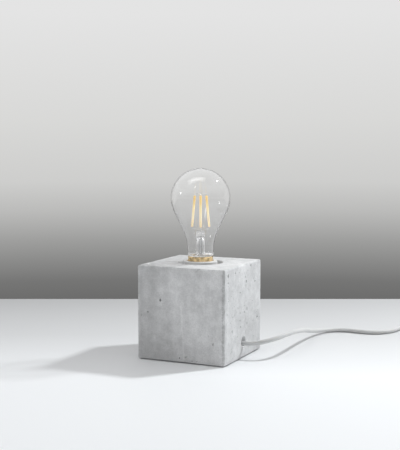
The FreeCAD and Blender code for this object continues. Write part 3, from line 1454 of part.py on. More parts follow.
pins, sleeves = [], []
for place in pin_places:
    ball = doc.addObject("Part::Sphere", "pin_end")
    bind(ball, Radius="pin_diameter / 2")
    put(ball, x="plug_length + pin_length - pin_diameter / 2", y=place)
    pins.append(fused([
        along_x("pin_core_diameter", "plug_length - pin_root", "pin_root + pin_sleeve_length",
                place),
        along_x("pin_diameter", "plug_length + pin_sleeve_length",
                "pin_length - pin_sleeve_length - pin_diameter / 2", place),
        ball,
    ]))
    sleeves.append(cut(along_x("pin_sleeve_diameter", "plug_length", "pin_sleeve_length", place),
                       along_x("pin_core_diameter", "plug_length", "pin_sleeve_length", place)))
in_frame(fused(pins, "plug_pins"), plug_frame)
in_frame(fused(sleeves, "pin_sleeves"), plug_frame)

# Ribbed strain relief between the cord and the plug.
ring_count = round(mm("sleeve_ring_count"))
sleeve_side = [("0", "0")]
for ring in range(ring_count):
    for share, depth in ((0, "0"), (0.6, "0"), (0.6, "sleeve_groove_depth"),
                         (1, "sleeve_groove_depth")):
        along = (ring + share) / ring_count
        sleeve_side.append((
            f"sleeve_tip_diameter / 2 + {along} * (sleeve_root_diameter - sleeve_tip_diameter) / 2"
            f" - {depth}", f"{along} * sleeve_length"))
sleeve_side.append(("0", "sleeve_length"))
in_frame(revolve(new_body("plug_sleeve"), sleeve_side),
         Placement(tail_end, Rotation(X_AXIS, -90)))


doc.recompute()
for thing in doc.Objects:
    faults = [state for state in thing.State if state in ("Invalid", "Error")]
    if faults:
        raise RuntimeError(f"{thing.Label} failed: {faults}")
for piece in pieces:
    if piece.Shape.isNull() or not piece.Shape.isValid() or not piece.Shape.Solids:
        raise RuntimeError(f"{piece.Label} has no sound solid")

os.makedirs("parts", exist_ok=True)
for piece in pieces:
    piece.Shape.exportStep(f"parts/{piece.Label}.step")
    print(f"{piece.Label}: {len(piece.Shape.Solids)} solids, {piece.Shape.Volume:.1f} mm3")
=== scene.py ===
import math
import random

import bmesh
import bpy
from mathutils import Matrix, Vector, noise


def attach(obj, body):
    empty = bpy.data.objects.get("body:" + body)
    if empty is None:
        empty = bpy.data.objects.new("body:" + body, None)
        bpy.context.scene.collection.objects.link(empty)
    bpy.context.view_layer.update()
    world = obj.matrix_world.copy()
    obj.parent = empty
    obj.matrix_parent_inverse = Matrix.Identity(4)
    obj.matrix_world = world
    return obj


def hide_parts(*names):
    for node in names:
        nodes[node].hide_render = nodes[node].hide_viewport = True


# Concrete cube lamp. Metres; the origin is on the table under the cube's centre.
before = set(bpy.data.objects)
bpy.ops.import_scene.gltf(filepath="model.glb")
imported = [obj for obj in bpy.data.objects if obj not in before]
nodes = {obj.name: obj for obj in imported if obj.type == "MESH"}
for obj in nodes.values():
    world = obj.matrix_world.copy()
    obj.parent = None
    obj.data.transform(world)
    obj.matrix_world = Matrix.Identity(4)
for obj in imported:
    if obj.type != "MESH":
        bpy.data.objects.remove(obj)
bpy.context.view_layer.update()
scene = bpy.context.scene
print("frame loaded:", len(nodes), "nodes")


def addObject(name, data):
    thing = bpy.data.objects.new(name, data)
    scene.collection.objects.link(thing)
    return thing


# Camera
view = {
    "place": (0.4393, -0.9528, 0.2357),
    "turn": 24.787,  # degrees
    "tilt": -5.2185,
    "lens": 78.744,
    "sensor": 36.0,
}
cameraData = bpy.data.cameras.new("camera")
cameraData.lens = view["lens"]
cameraData.sensor_width = view["sensor"]
camera = addObject("camera", cameraData)
camera.location = view["place"]
camera.rotation_euler = (math.radians(90 + view["tilt"]), 0, math.radians(view["turn"]))
scene.camera = camera
scene.view_settings.view_transform = "Standard"

# Cord: its points are the control points of smooth splines.
cord = {
    "diameter": 0.005,
    "sides": 6,
    "sharpAngle": 60,
    "smoothness": 10,
    "coilSmoothness": 5,
    "inner": [
        (0.0500, 0.0000, 0.0156), (0.0360, -0.00042, 0.01497), (0.0200, -0.0018, 0.0140),
        (0.0095, -0.0013, 0.0148), (0.0020, -0.0005, 0.0204), (0.0001, 0.0001, 0.0305),
        (0.0000, 0.0000, 0.0435), (0.0000, 0.0000, 0.0560),
    ],
    "lead": [
        (0.0500, 0.0000, 0.0156), (0.0610, 0.00033, 0.0161), (0.0732, 0.0032, 0.0190),
        (0.0839, 0.0118, 0.0221), (0.0901, 0.0263, 0.0242), (0.0916, 0.0450, 0.0238),
        (0.0902, 0.0668, 0.0208), (0.0872, 0.0900, 0.0167), (0.0847, 0.1130, 0.0118),
        (0.0839, 0.1366, 0.0072), (0.0856, 0.1584, 0.0037), (0.0946, 0.1736, 0.0026),
        (0.1100, 0.1800, 0.0025), (0.1275, 0.1776, 0.0025), (0.1434, 0.1790, 0.0025),
        (0.1554, 0.1882, 0.0025), (0.1626, 0.2024, 0.0025), (0.1648, 0.2174, 0.0025),
        (0.1686, 0.2312, 0.0025), (0.1772, 0.2420, 0.0025), (0.1902, 0.2476, 0.0026),
        (0.2043, 0.2464, 0.0031), (0.2161, 0.2386, 0.0042), (0.2228, 0.2262, 0.0058),
        (0.2231, 0.2085, 0.0081), (0.2220, 0.1915, 0.0090), (0.2220, 0.1820, 0.0090),
    ],
    "link": [
        (0.2220, 0.1285, 0.0090), (0.2223, 0.1195, 0.0084), (0.2229, 0.1080, 0.0066),
        (0.2230, 0.0945, 0.0046), (0.2223, 0.0820, 0.0037), (0.2220, 0.0720, 0.0036),
        (0.2220, 0.0650, 0.0036),
    ],
    "tail": [
        (0.2940, 0.0650, 0.00905), (0.2940, 0.0720, 0.00905), (0.2922, 0.0820, 0.0087),
        (0.2883, 0.0930, 0.0080), (0.2846, 0.1030, 0.0072), (0.2830, 0.1125, 0.00685),
        (0.2830, 0.1190, 0.00685),
    ],
    "coilCentre": (0.258, 0.060),
    "coilRadius": 0.036,
    "turnPitch": 0.00545,
    "layerPitch": 0.00545,
    "layerTurns": 3,
    "climbTurns": 0.5,  # how long it takes up to the second layer
    "turns": 6.5,
    "pointsPerTurn": 24,
    "coilLow": 0.0036,
}


def meshOf(thing):
    depsgraph = bpy.context.evaluated_depsgraph_get()
    return bpy.data.meshes.new_from_object(thing.evaluated_get(depsgraph))


def roundTube(name, points, smoothness):
    curve = bpy.data.curves.new(name, "CURVE")
    curve.dimensions = "3D"
    spline = curve.splines.new("NURBS")
    spline.points.add(len(points) - 1)
    for point, place in zip(spline.points, points):
        point.co = (*place, 1)
    spline.order_u = 3
    spline.use_endpoint_u = True
    spline.resolution_u = smoothness
    guide = addObject("guide", curve)
    path = [tuple(vertex.co) for vertex in meshOf(guide).vertices]
    curve.bevel_depth = cord["diameter"] / 2
    curve.bevel_resolution = cord["sides"]
    curve.use_fill_caps = True
    tube = meshOf(guide)
    tube.set_sharp_from_angle(angle=math.radians(cord["sharpAngle"]))
    bpy.data.objects.remove(guide)
    return addObject(name, tube), path


def coilPoints():
    points = []
    count = round(cord["turns"] * cord["pointsPerTurn"])
    # the spline runs a little inside its control points
    shrink = 0.75 + 0.25 * math.cos(2 * math.pi / cord["pointsPerTurn"])
    middle = cord["turns"] / 2
    for index in range(count + 1):
        turn = index / cord["pointsPerTurn"]
        climb = min(max((turn - cord["layerTurns"]) / cord["climbTurns"], 0), 1)
        radius = cord["coilRadius"] - cord["turnPitch"] * (middle - abs(turn - middle))
        angle = math.pi + 2 * math.pi * turn
        points.append((
            cord["coilCentre"][0] + radius / shrink * math.cos(angle),
            cord["coilCentre"][1] + radius / shrink * math.sin(angle),
            cord["coilLow"] + cord["layerPitch"] * climb * climb * (3 - 2 * climb),
        ))
    return points


innerCord = roundTube("innerCord", cord["inner"], cord["smoothness"])[0]
lampCord, lampPath = roundTube("lampCord", cord["lead"], cord["smoothness"])
plugCord, plugPath = roundTube("plugCord", cord["link"] + coilPoints() + cord["tail"],
                               cord["coilSmoothness"])
for piece, replaced in ((innerCord, ["inner_cord"]), (lampCord, ["cord_lead"]),
                        (plugCord, ["cord_link", "cord_coil", "cord_tail"])):
    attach(piece, "lamp")
    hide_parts(*replaced)
switchNodes = [nodes[name] for name in nodes if name.startswith("switch_")]
switchNodes += [nodes["rocker_plunger"], nodes["plunger_spring"], nodes["contact_bridge"]]
print("cords laid")


# Node helpers: where a value can be a socket, it is linked, and otherwise set
def setInputs(made, values):
    for key, value in values.items():
        made.inputs[key].default_value = value
    return made


def addNode(tree, kind, values=None, **settings):
    made = tree.nodes.new("ShaderNode" + kind)
    for key, value in settings.items():
        setattr(made, key, value)
    return setInputs(made, values or {})


def link(tree, value, inlet):
    if isinstance(value, bpy.types.NodeSocket):
        tree.links.new(value, inlet)
    else:
        inlet.default_value = value


def connect(tree, made, *values):
    for value, inlet in zip(values, made.inputs):
        link(tree, value, inlet)
    return made.outputs[0]


def calculate(tree, operation, first, *others):
    for other in others:
        first = connect(tree, addNode(tree, "Math", operation=operation), first, other)
    return first


def plus(tree, *values):
    return calculate(tree, "ADD", *values)


def minus(tree, first, second):
    return calculate(tree, "SUBTRACT", first, second)


def times(tree, *values):
    return calculate(tree, "MULTIPLY", *values)


def greatest(tree, *values):
    return calculate(tree, "MAXIMUM", *values)


def sizeOf(tree, value):
    return connect(tree, addNode(tree, "Math", operation="ABSOLUTE"), value)


def onePlus(tree, amount, strength):
    return plus(tree, 1.0, times(tree, amount, strength))


def remap(tree, value, low, high, toLow=0.0, toHigh=1.0, kind="SMOOTHSTEP"):
    return connect(tree, addNode(tree, "MapRange", {1: low, 2: high, 3: toLow, 4: toHigh},
                                 interpolation_type=kind), value)


def noiseValue(tree, vector, scale, detail, roughness=0.5):
    made = addNode(tree, "TexNoise", {"Detail": detail, "Roughness": roughness})
    link(tree, vector, made.inputs["Vector"])
    link(tree, scale, made.inputs["Scale"])
    return made.outputs["Fac"]


# Noise keeps mostly between these two levels.
noiseLevels = (0.3, 0.7)


def wander(tree, value, low, high):
    return remap(tree, value, *noiseLevels, low, high)


def toned(tree, colour, factor):
    made = addNode(tree, "VectorMath", operation="SCALE")
    link(tree, factor, made.inputs["Scale"])
    return connect(tree, made, colour)


def splitPlace(tree, kind="Object"):
    place = addNode(tree, "TexCoord").outputs[kind]
    parts = addNode(tree, "SeparateXYZ")
    link(tree, place, parts.inputs[0])
    return place, parts.outputs


def distanceAlong(tree, parts, way):
    return plus(tree, times(tree, parts["X"], way.x), times(tree, parts["Y"], way.y))


def colourRamp(tree, value, stops):
    ramp = addNode(tree, "ValToRGB")
    elements = ramp.color_ramp.elements
    elements[0].color = (*stops[0][1], 1)
    elements[1].color = (*stops[-1][1], 1)
    for spot, colour in stops[1:-1]:
        elements.new(spot).color = (*colour, 1)
    return connect(tree, ramp, value)


def mixShaders(tree, factor, first, second):
    return connect(tree, addNode(tree, "MixShader"), factor, first, second)


def mixColours(tree, factor, first, second):
    made = addNode(tree, "Mix", data_type="RGBA")
    for value, key in ((factor, "Factor"), (first, 6), (second, 7)):
        link(tree, value, made.inputs[key])
    return made.outputs[2]


def newGroup(name, inputs, outputs):
    group = bpy.data.node_groups.new(name, "ShaderNodeTree")
    for way, titles in (("INPUT", inputs), ("OUTPUT", outputs)):
        for title in titles:
            kind = "NodeSocketColor" if title == "Colour" else "NodeSocketFloat"
            socket = group.interface.new_socket(title, in_out=way, socket_type=kind)
            if way == "INPUT":
                socket.default_value = inputs[title]
    return group, group.nodes.new("NodeGroupInput"), group.nodes.new("NodeGroupOutput")


def placeGroup(tree, group, values):
    made = tree.nodes.new("ShaderNodeGroup")
    made.node_tree = group
    return setInputs(made, values)


# The height of a pattern and the roughness that goes up and down with it
def giveOut(group, entry, leave, height):
    drift = times(group, wander(group, height, -1, 1), entry.outputs["Roughness Spread"])
    link(group, plus(group, entry.outputs["Roughness"], drift), leave.inputs["Roughness"])
    link(group, height, leave.inputs["Height"])


# Patches of tone and a fine grain, shared by nearly every finish
grainGroup, entry, leave = newGroup(
    "toneAndGrain",
    {"Colour": (0.8, 0.8, 0.8, 1), "Tone Spread": 0.05, "Patch Scale": 60, "Roughness": 0.5,
     "Roughness Spread": 0.05, "Grain Scale": 900},
    ["Colour", "Roughness", "Height"])
place = addNode(grainGroup, "TexCoord").outputs["Object"]
patches = wander(grainGroup, noiseValue(grainGroup, place, entry.outputs["Patch Scale"], 4),
                 -1, 1)
tone = onePlus(grainGroup, patches, entry.outputs["Tone Spread"])
link(grainGroup, toned(grainGroup, entry.outputs["Colour"], tone), leave.inputs["Colour"])
giveOut(grainGroup, entry, leave,
        noiseValue(grainGroup, place, entry.outputs["Grain Scale"], 3))

# Fine drawn or turned lines on metal
lineGroup, entry, leave = newGroup(
    "workedLines",
    {"Along": 60, "Across": 2500, "Roughness": 0.3, "Roughness Spread": 0.1},
    ["Height", "Roughness"])
parts = splitPlace(lineGroup)[1]
packed = connect(lineGroup, addNode(lineGroup, "CombineXYZ"), *[
    times(lineGroup, parts[index], entry.outputs[scale])
    for index, scale in enumerate(("Along", "Along", "Across"))])
giveOut(lineGroup, entry, leave, noiseValue(lineGroup, packed, 1.0, 2))


def newMaterial(name):
    material = bpy.data.materials.new(name)
    material.use_nodes = True
    tree = material.node_tree
    return material, tree, tree.nodes["Principled BSDF"]


def bumpFrom(tree, shader, height, strength, distance):
    bump = addNode(tree, "Bump", {"Strength": strength, "Distance": distance})
    link(tree, height, bump.inputs["Height"])
    link(tree, bump.outputs[0], shader.inputs["Normal"])


# What a finish has where it names nothing else
usual = {
    "metal": 0,
    "ior": 1.48,
    "toneSpread": 0.04,
    "patches": 70,
    "unevenness": 0.05,
    "grain": 1200,
    "grainDepth": 0.0001,
    "lineDepth": 0.00004,
    "bump": 0.15,
    "glowColour": (1, 0.97, 0.93),
    "glowReach": 0.004,
}


def plainFinish(name, own):
    look = {**usual, **own}
    material, tree, shader = newMaterial(name)
    matt = {"Roughness": look["roughness"], "Roughness Spread": look["unevenness"]}
    grained = placeGroup(tree, grainGroup, {
        "Colour": (*look["colour"], 1), "Tone Spread": look["toneSpread"],
        "Patch Scale": look["patches"], "Grain Scale": look["grain"], **matt})
    link(tree, grained.outputs["Colour"], shader.inputs["Base Color"])
    setInputs(shader, {"Metallic": look["metal"], "IOR": look["ior"]})
    if "glow" in look:  # soft plastic that light goes a few millimetres into
        setInputs(shader, {"Subsurface Weight": look["glow"],
                           "Subsurface Radius": look["glowColour"],
                           "Subsurface Scale": look["glowReach"]})
    surface, depth = grained, look["grainDepth"]
    if "lines" in look:
        along, across = look["lines"]
        surface = placeGroup(tree, lineGroup, {"Along": along, "Across": across, **matt})
        depth = look["lineDepth"]
    link(tree, surface.outputs["Roughness"], shader.inputs["Roughness"])
    bumpFrom(tree, shader, surface.outputs["Height"], look["bump"], depth)
    return material


finishes = {
    "grey_rubber": {"colour": (0.13, 0.13, 0.135), "roughness": 0.85, "grain": 1500,
                    "bump": 0.5},
    "black_plastic": {"colour": (0.022, 0.022, 0.024), "roughness": 0.48, "grain": 1800,
                      "bump": 0.4},
    "white_plastic": {"colour": (0.80, 0.80, 0.79), "roughness": 0.38, "grain": 1500,
                      "bump": 0.12, "toneSpread": 0.02},
    "white_gloss_plastic": {"colour": (0.78, 0.78, 0.775), "roughness": 0.18, "grain": 900,
                            "bump": 0.05, "toneSpread": 0.015},
    "white_cord": {"colour": (0.57, 0.572, 0.57), "roughness": 0.5, "grain": 1100,
                   "bump": 0.12, "toneSpread": 0.03, "patches": 40, "glow": 0.9},
    "brown_core": {"colour": (0.16, 0.07, 0.035), "roughness": 0.45, "grain": 1500},
    "blue_core": {"colour": (0.03, 0.16, 0.42), "roughness": 0.45, "grain": 1500},
    "mixed_core": {"colour": (0.10, 0.10, 0.20), "roughness": 0.45, "grain": 1500},
    "zinc_steel": {"colour": (0.62, 0.63, 0.64), "roughness": 0.34, "metal": 1,
                   "unevenness": 0.12, "lines": (300, 2600), "bump": 0.2},
    "brass": {"colour": (0.74, 0.55, 0.26), "roughness": 0.30, "metal": 1,
              "unevenness": 0.1, "lines": (900, 300), "bump": 0.12},
    "cap_brass": {"colour": (0.69, 0.52, 0.29), "roughness": 0.24, "metal": 1,
                  "toneSpread": 0.5, "patches": 230, "unevenness": 0.12, "lines": (60, 1300),
                  "bump": 0.3},
    "solder": {"colour": (0.60, 0.60, 0.60), "roughness": 0.30, "metal": 1, "patches": 500,
               "toneSpread": 0.1, "grain": 700, "bump": 0.4},
    "black_glass": {"colour": (0.015, 0.013, 0.016), "roughness": 0.12, "grain": 500},
    "nickel_wire": {"colour": (0.68, 0.68, 0.67), "roughness": 0.22, "metal": 1,
                    "unevenness": 0.08},
    "board": {"colour": (0.58, 0.60, 0.48), "roughness": 0.55, "grain": 1600, "bump": 0.3},
    "capacitor_sleeve": {"colour": (0.02, 0.025, 0.04), "roughness": 0.30},
    "chip_plastic": {"colour": (0.03, 0.03, 0.03), "roughness": 0.60, "bump": 0.3},
    "sprung_steel": {"colour": (0.60, 0.60, 0.61), "roughness": 0.28, "metal": 1},
    "ivory_thermoset": {"colour": (0.74, 0.72, 0.64), "roughness": 0.42, "bump": 0.2},
    "pin_nickel": {"colour": (0.72, 0.71, 0.69), "roughness": 0.20, "metal": 1,
                   "unevenness": 0.08, "lines": (700, 900), "bump": 0.1},
}
materials = {slot: plainFinish(slot, look) for slot, look in finishes.items()}

# Clear glass lets the lamps' light through to what is behind it.
glasses = {
    "clear_glass": {"colour": (1.0, 1.0, 1.0), "roughness": 0.0, "transmission": 1.0,
                    "smudge": 0.03, "shadow": 0.93, "edgeShadow": 0.5, "edgeClear": 0.88,
                    "milk": (0.1091, 0.1080, 0.95)},
    "stem_glass": {"colour": (0.98, 0.985, 0.99), "roughness": 0.04, "transmission": 0.95,
                   "smudge": 0.06, "shadow": 0.96, "edgeShadow": 0.7, "edgeClear": 0.5,
                   "milk": (0.1262, 0.1285, 0.85)},
    "tube_glass": {"colour": (0.95, 0.96, 0.97), "roughness": 0.25, "transmission": 0.1,
                   "smudge": 0.1, "shadow": 0.6, "edgeShadow": 0.4, "edgeClear": 0.0,
                   "milk": (0.0, 0.001, 0.95)},
}
# What they share: a pair of numbers is where an effect begins and where it is full
glass = {
    "ior": 1.47,
    "smudgeScale": 45,
    "smudges": (0.48, 0.75),
    "edgeBlend": 0.35,
    "edgeShade": (0.2, 1.0),
    "outline": (0.55, 0.70),
    "through": (0.97, 0.97, 0.97, 1),
    "white": (0.96, 0.96, 0.96, 1),
    "bubbleScale": 420,
    "bubbles": (0.35, 0.6),
    "leastMilk": 0.45,
}


def glassFinish(name, look):
    material, tree, shader = newMaterial(name)
    place, parts = splitPlace(tree)
    smudges = remap(tree, noiseValue(tree, place, glass["smudgeScale"], 5), *glass["smudges"],
                    look["roughness"], look["roughness"] + look["smudge"])
    link(tree, smudges, shader.inputs["Roughness"])
    setInputs(shader, {"Base Color": (*look["colour"], 1), "IOR": glass["ior"],
                       "Transmission Weight": look["transmission"]})
    # seen edge on, the wall keeps more of the light from what is behind it
    edge = addNode(tree, "LayerWeight", {"Blend": glass["edgeBlend"]}).outputs["Facing"]
    light = remap(tree, edge, *glass["edgeShade"], look["shadow"], look["edgeShadow"])
    shade = connect(tree, addNode(tree, "CombineColor"), light, light, light)
    clear = connect(tree, addNode(tree, "BsdfTransparent"), shade)
    # light that the wall leads round at its outline comes out again
    through = addNode(tree, "BsdfTransparent", {"Color": glass["through"]})
    outline = mixShaders(tree, remap(tree, edge, *glass["outline"], 0.0, look["edgeClear"]),
                         shader.outputs[0], through.outputs[0])
    # cloudy from one height on: bubbles in the press, cement at the foot of the bulb
    low, high, most = look["milk"]
    white = addNode(tree, "BsdfTranslucent", {"Color": glass["white"]})
    bubbles = remap(tree, noiseValue(tree, place, glass["bubbleScale"], 2), *glass["bubbles"],
                    glass["leastMilk"] * most, most)
    cloudy = mixShaders(tree, times(tree, bubbles, remap(tree, parts["Z"], low, high)),
                        outline, white.outputs[0])
    rays = addNode(tree, "LightPath").outputs
    lighting = greatest(tree, rays["Is Shadow Ray"], rays["Is Diffuse Ray"])
    link(tree, mixShaders(tree, lighting, cloudy, clear),
         tree.nodes["Material Output"].inputs["Surface"])
    return material


for slot, look in glasses.items():
    materials[slot] = glassFinish(slot, look)

phosphor = {
    "heights": (0.140, 0.172),
    "stops": [(0.0, (0.93, 0.74, 0.45)), (0.12, (0.97, 0.82, 0.54)), (0.6, (0.97, 0.79, 0.42)),
              (1.0, (0.93, 0.62, 0.20))],
    "lumpScale": 900,
    "lumpTones": (0.9, 1.08),
    "lumpBump": 0.4,
    "lumpDepth": 0.0002,
    "glow": 0.38,  # painted light: the coating glows in its own colour, though the bulb is not lit
    "roughness": 0.42,
}


def phosphorFinish(look):
    material, tree, shader = newMaterial("phosphor")
    place, parts = splitPlace(tree)
    colour = colourRamp(tree, remap(tree, parts["Z"], *look["heights"]), look["stops"])
    lumps = noiseValue(tree, place, look["lumpScale"], 2)
    coat = toned(tree, colour, wander(tree, lumps, *look["lumpTones"]))
    link(tree, coat, shader.inputs["Base Color"])
    # painted light: the coat's colour also glows
    link(tree, coat, shader.inputs["Emission Color"])
    setInputs(shader, {"Emission Strength": look["glow"], "Roughness": look["roughness"]})
    bumpFrom(tree, shader, lumps, look["lumpBump"], look["lumpDepth"])
    return material


materials["phosphor"] = phosphorFinish(phosphor)

# Concrete: a pair of numbers is where an effect begins and where it is full
concrete = {
    "colour": (0.668, 0.670, 0.672),
    "tones": [(26, 0.085), (130, 0.085), (950, 0.07)],  # noise: scale, spread of the tone
    "noiseRoughness": 0.6,
    "streaks": (170, 13, 0.035),  # scale across, scale along, spread
    "streakLevels": (0.35, 0.7),
    "middle": 0.0504,
    "perHalf": (20, 20, 20.16),  # one over half of each side
    # paler edges: partly worn concrete, partly a painted highlight along the edges
    "wearAndHighlightScale": 240,
    "wearAndHighlightRagged": (-0.02, 0.01),
    "wearAndHighlight": (0.955, 0.99),
    "wearAndHighlightEdge": 0.10,
    # the pale run of lime down the front face
    "run": {"line": (0.0, 0.07, 0.0032, 0.0010), "scale": 60, "waver": 0.0007,
            "half": (0.0002, 0.0012), "onFront": (-0.0493, -0.0485), "top": (0.058, 0.064),
            "paler": 0.09},
    # painted shade on the block: darker towards the left and towards the bottom, where less light
    # reaches it
    "paintedShadeLeft": (-0.036, 0.004, 0.84),  # darker towards the left: from, to, tone
    "foot": (-0.010, 0.060, 0.86),  # and towards the bottom
    # painted shade: the pits are coloured darker
    "hollow": 0.5,  # darker in the pits, which stop short of the holes' depth
    "inside": (0.984, 0.994),
    "deep": (0.90, 0.94),
    # but painted light: paler inside the cord's hole and the recess, with no painted pit shade
    # there: centre, reach, how much
    "paintedLightMouths": [((0.05, 0.0, 0.0172), 0.009, 0.35), ((0.0, 0.0, 0.1), 0.0262, 0.05)],
    "mouthEdge": 0.001,
    # marks: face, from and to along and up the face, half width, tone
    "marks": [
        ("right", (0.0339, 0.0448), (0.0480, 0.0318), 0.0006, 0.90),
        ("right", (0.0098, 0.0560), (0.0106, 0.0340), 0.0004, 0.86),
        ("right", (0.0066, 0.0800), (0.0075, 0.0700), 0.0004, 0.88),
        ("front", (0.0216, 0.0994), (0.0165, 0.0958), 0.0004, 0.80),
        ("front", (-0.0300, 0.0830), (-0.0308, 0.0700), 0.0005, 0.93),
        ("front", (0.0481, 0.1120), (0.0481, -0.0080), 0.0008, 0.72),
    ],
    "markScale": 400,
    "markFades": (0.15, 0.8),  # a mark is full between these parts of its length
    "onFace": (0.0485, 0.0493),
    "specks": 330,
    "speckSize": (0.10, 0.22),
    "speckShare": (0.86, 0.88),
    "speckDark": 0.45,
    "matt": (0.72, 0.92),
    "mattScale": 300,
    "coarse": (110, 1.5),
    "fine": 700,
    "bump": 0.35,
    "bumpDepth": 0.0003,
}


def concreteFinish(look):
    material, tree, shader = newMaterial("castConcrete")
    place, (x, y, z) = splitPlace(tree)
    tones = [wander(tree, noiseValue(tree, place, scale, 5, look["noiseRoughness"]),
                    1 - spread, 1 + spread) for scale, spread in look["tones"]]
    across, along, spread = look["streaks"]
    drawn = connect(tree, addNode(tree, "CombineXYZ"), times(tree, x, across),
                    times(tree, y, across), times(tree, z, along))
    tones.append(remap(tree, noiseValue(tree, drawn, 1, 3), *look["streakLevels"],
                       1 - spread, 1 + spread))
    # paler edges, partly worn concrete and partly a painted highlight along the edges: the second
    # largest of the three distances from the middle
    sides = [sizeOf(tree, times(tree, axis, scale)) for axis, scale in
             zip((x, y, minus(tree, z, look["middle"])), look["perHalf"])]
    second = greatest(tree, *[calculate(tree, "MINIMUM", sides[a], sides[b])
                              for a, b in ((0, 1), (1, 2), (2, 0))])
    ragged = wander(tree, noiseValue(tree, place, look["wearAndHighlightScale"], 3), *look["wearAndHighlightRagged"])
    tones.append(onePlus(tree, remap(tree, plus(tree, second, ragged), *look["wearAndHighlight"]),
                         look["wearAndHighlightEdge"]))
    run = look["run"]
    waver = wander(tree, noiseValue(tree, place, run["scale"], 2), -run["waver"], run["waver"])
    off = sizeOf(tree, minus(tree, x, plus(tree, remap(tree, z, *run["line"]), waver)))
    limed = times(tree, *[remap(tree, value, *run[key], 1, 0)
                          for value, key in ((off, "half"), (y, "onFront"), (z, "top"))])
    tones.append(onePlus(tree, limed, run["paler"]))
    # painted shade: darker towards the left and towards the bottom
    for axis, key in ((x, "paintedShadeLeft"), (z, "foot")):
        tones.append(remap(tree, axis, *look[key], 1))
    # in the pits: the largest of the three distances is short of the face; there the colour
    # carries painted shade
    largest = greatest(tree, *sides)
    inside = remap(tree, largest, *look["inside"], 1, 0)
    paintedPitShade = times(tree, inside, remap(tree, largest, *look["deep"]))
    for centre, reach, paler in look["paintedLightMouths"]:
        distance = addNode(tree, "VectorMath", {1: centre}, operation="DISTANCE")
        link(tree, place, distance.inputs[0])
        outside = remap(tree, distance.outputs["Value"], reach, reach + look["mouthEdge"])
        paintedPitShade = times(tree, paintedPitShade, outside)
        # painted light inside the cord's hole and the recess
        tones.append(onePlus(tree, times(tree, inside, minus(tree, 1.0, outside)), paler))
    # painted shade in the pits
    tones.append(onePlus(tree, paintedPitShade, -look["hollow"]))
    for face, first, last, width, dark in look["marks"]:
        over, depth = (y, x) if face == "right" else (x, times(tree, y, -1.0))
        reach = math.dist(first, last)
        lean = [(end - start) / reach for start, end in zip(first, last)]
        away = [minus(tree, axis, value) for axis, value in zip((over, z), first)]
        along = plus(tree, *[times(tree, far, part) for far, part in zip(away, lean)])
        off = sizeOf(tree, minus(tree, *[times(tree, far, part)
                                         for far, part in zip(away, lean[::-1])]))
        uneven = wander(tree, noiseValue(tree, place, look["markScale"], 3), -width, width)
        start, end = (part * reach for part in look["markFades"])
        mark = times(tree, remap(tree, plus(tree, off, uneven), 0, 2 * width, 1, 0),
                     remap(tree, along, 0, start), remap(tree, along, end, reach, 1, 0),
                     remap(tree, depth, *look["onFace"]))
        tones.append(onePlus(tree, mark, dark - 1))
    # small dark specks
    cells = addNode(tree, "TexVoronoi", {"Scale": look["specks"]})
    link(tree, place, cells.inputs["Vector"])
    dots = times(tree, remap(tree, cells.outputs["Distance"], *look["speckSize"], 1, 0),
                 remap(tree, cells.outputs["Color"], *look["speckShare"]))
    tones.append(onePlus(tree, dots, -look["speckDark"]))
    link(tree, toned(tree, look["colour"], times(tree, *tones)), shader.inputs["Base Color"])
    link(tree, wander(tree, noiseValue(tree, place, look["mattScale"], 3), *look["matt"]),
         shader.inputs["Roughness"])
    scale, share = look["coarse"]
    height = plus(tree, noiseValue(tree, place, look["fine"], 4, look["noiseRoughness"]),
                  times(tree, noiseValue(tree, place, scale, 3), share))
    bumpFrom(tree, shader, minus(tree, height, dots), look["bump"], look["bumpDepth"])
    return material


materials["cast_concrete"] = concreteFinish(concrete)
for node in nodes.values():
    slot = node.data.materials[0].name
    node.material_slots[0].material = materials[slot]
for piece in (innerCord, lampCord, plugCord):
    piece.data.materials.clear()
    piece.data.materials.append(materials["white_cord"])
print("materials made:", len(materials))


# Shapes made of rings about the upright axis, where a ring of one point closes them
def addRing(mesh, steps, height, wide, deep=None, square=1):
    if wide == 0:
        return [mesh.verts.new((0, 0, height))]
    ring = []
    for step in range(steps):
        angle = 2 * math.pi * step / steps
        x, y = math.cos(angle), math.sin(angle)
        ring.append(mesh.verts.new((wide * math.copysign(abs(x) ** square, x),
                                    (deep or wide) * math.copysign(abs(y) ** square, y),
                                    height)))
    return ring


def joinRings(mesh, low, high):
    steps = max(len(low), len(high))
    for step in range(steps):
        after = (step + 1) % steps
        if len(low) == 1:
            mesh.faces.new((low[0], high[after], high[step]))
        elif len(high) == 1:
            mesh.faces.new((low[step], low[after], high[0]))
        else:
            mesh.faces.new((low[step], low[after], high[after], high[step]))


def meshFrom(mesh, name):
    data = bpy.data.meshes.new(name)
    mesh.to_mesh(data)
    mesh.free()
    return data


def turnedMesh(name, profile, steps):
    mesh = bmesh.new()
    rings = [addRing(mesh, steps, height, radius) for radius, height in profile]
    for low, high in zip(rings, rings[1:]):
        joinRings(mesh, low, high)
    bmesh.ops.recalc_face_normals(mesh, faces=mesh.faces)
    data = meshFrom(mesh, name)
    data.shade_smooth()
    return data


def arcPoints(centre, radius, first, last, count):
    points = []
    for index in range(count + 1):
        angle = math.radians(first + (last - first) * index / count)
        points.append((centre[0] + radius * math.cos(angle), centre[1] + radius * math.sin(angle)))
    return points


# Bulb glass
bulb = {
    "top": 0.2011,
    "radius": 0.0324,
    "flankAngle": 26.4,
    "neckRadius": 0.0147,
    "waistRound": 0.045,
    "sealRadius": 0.0127,
    "sealDrop": 0.002,
    "taper": [(0.01455, 0.1130), (0.01425, 0.1112), (0.0137, 0.1088)],
    "foot": 0.101,
    "capRadius": 0.0131,
    "capTop": 0.1068,
    "wall": 0.0005,
    "steps": 128,
    "crownSteps": 30,
    "waistSteps": 12,
}


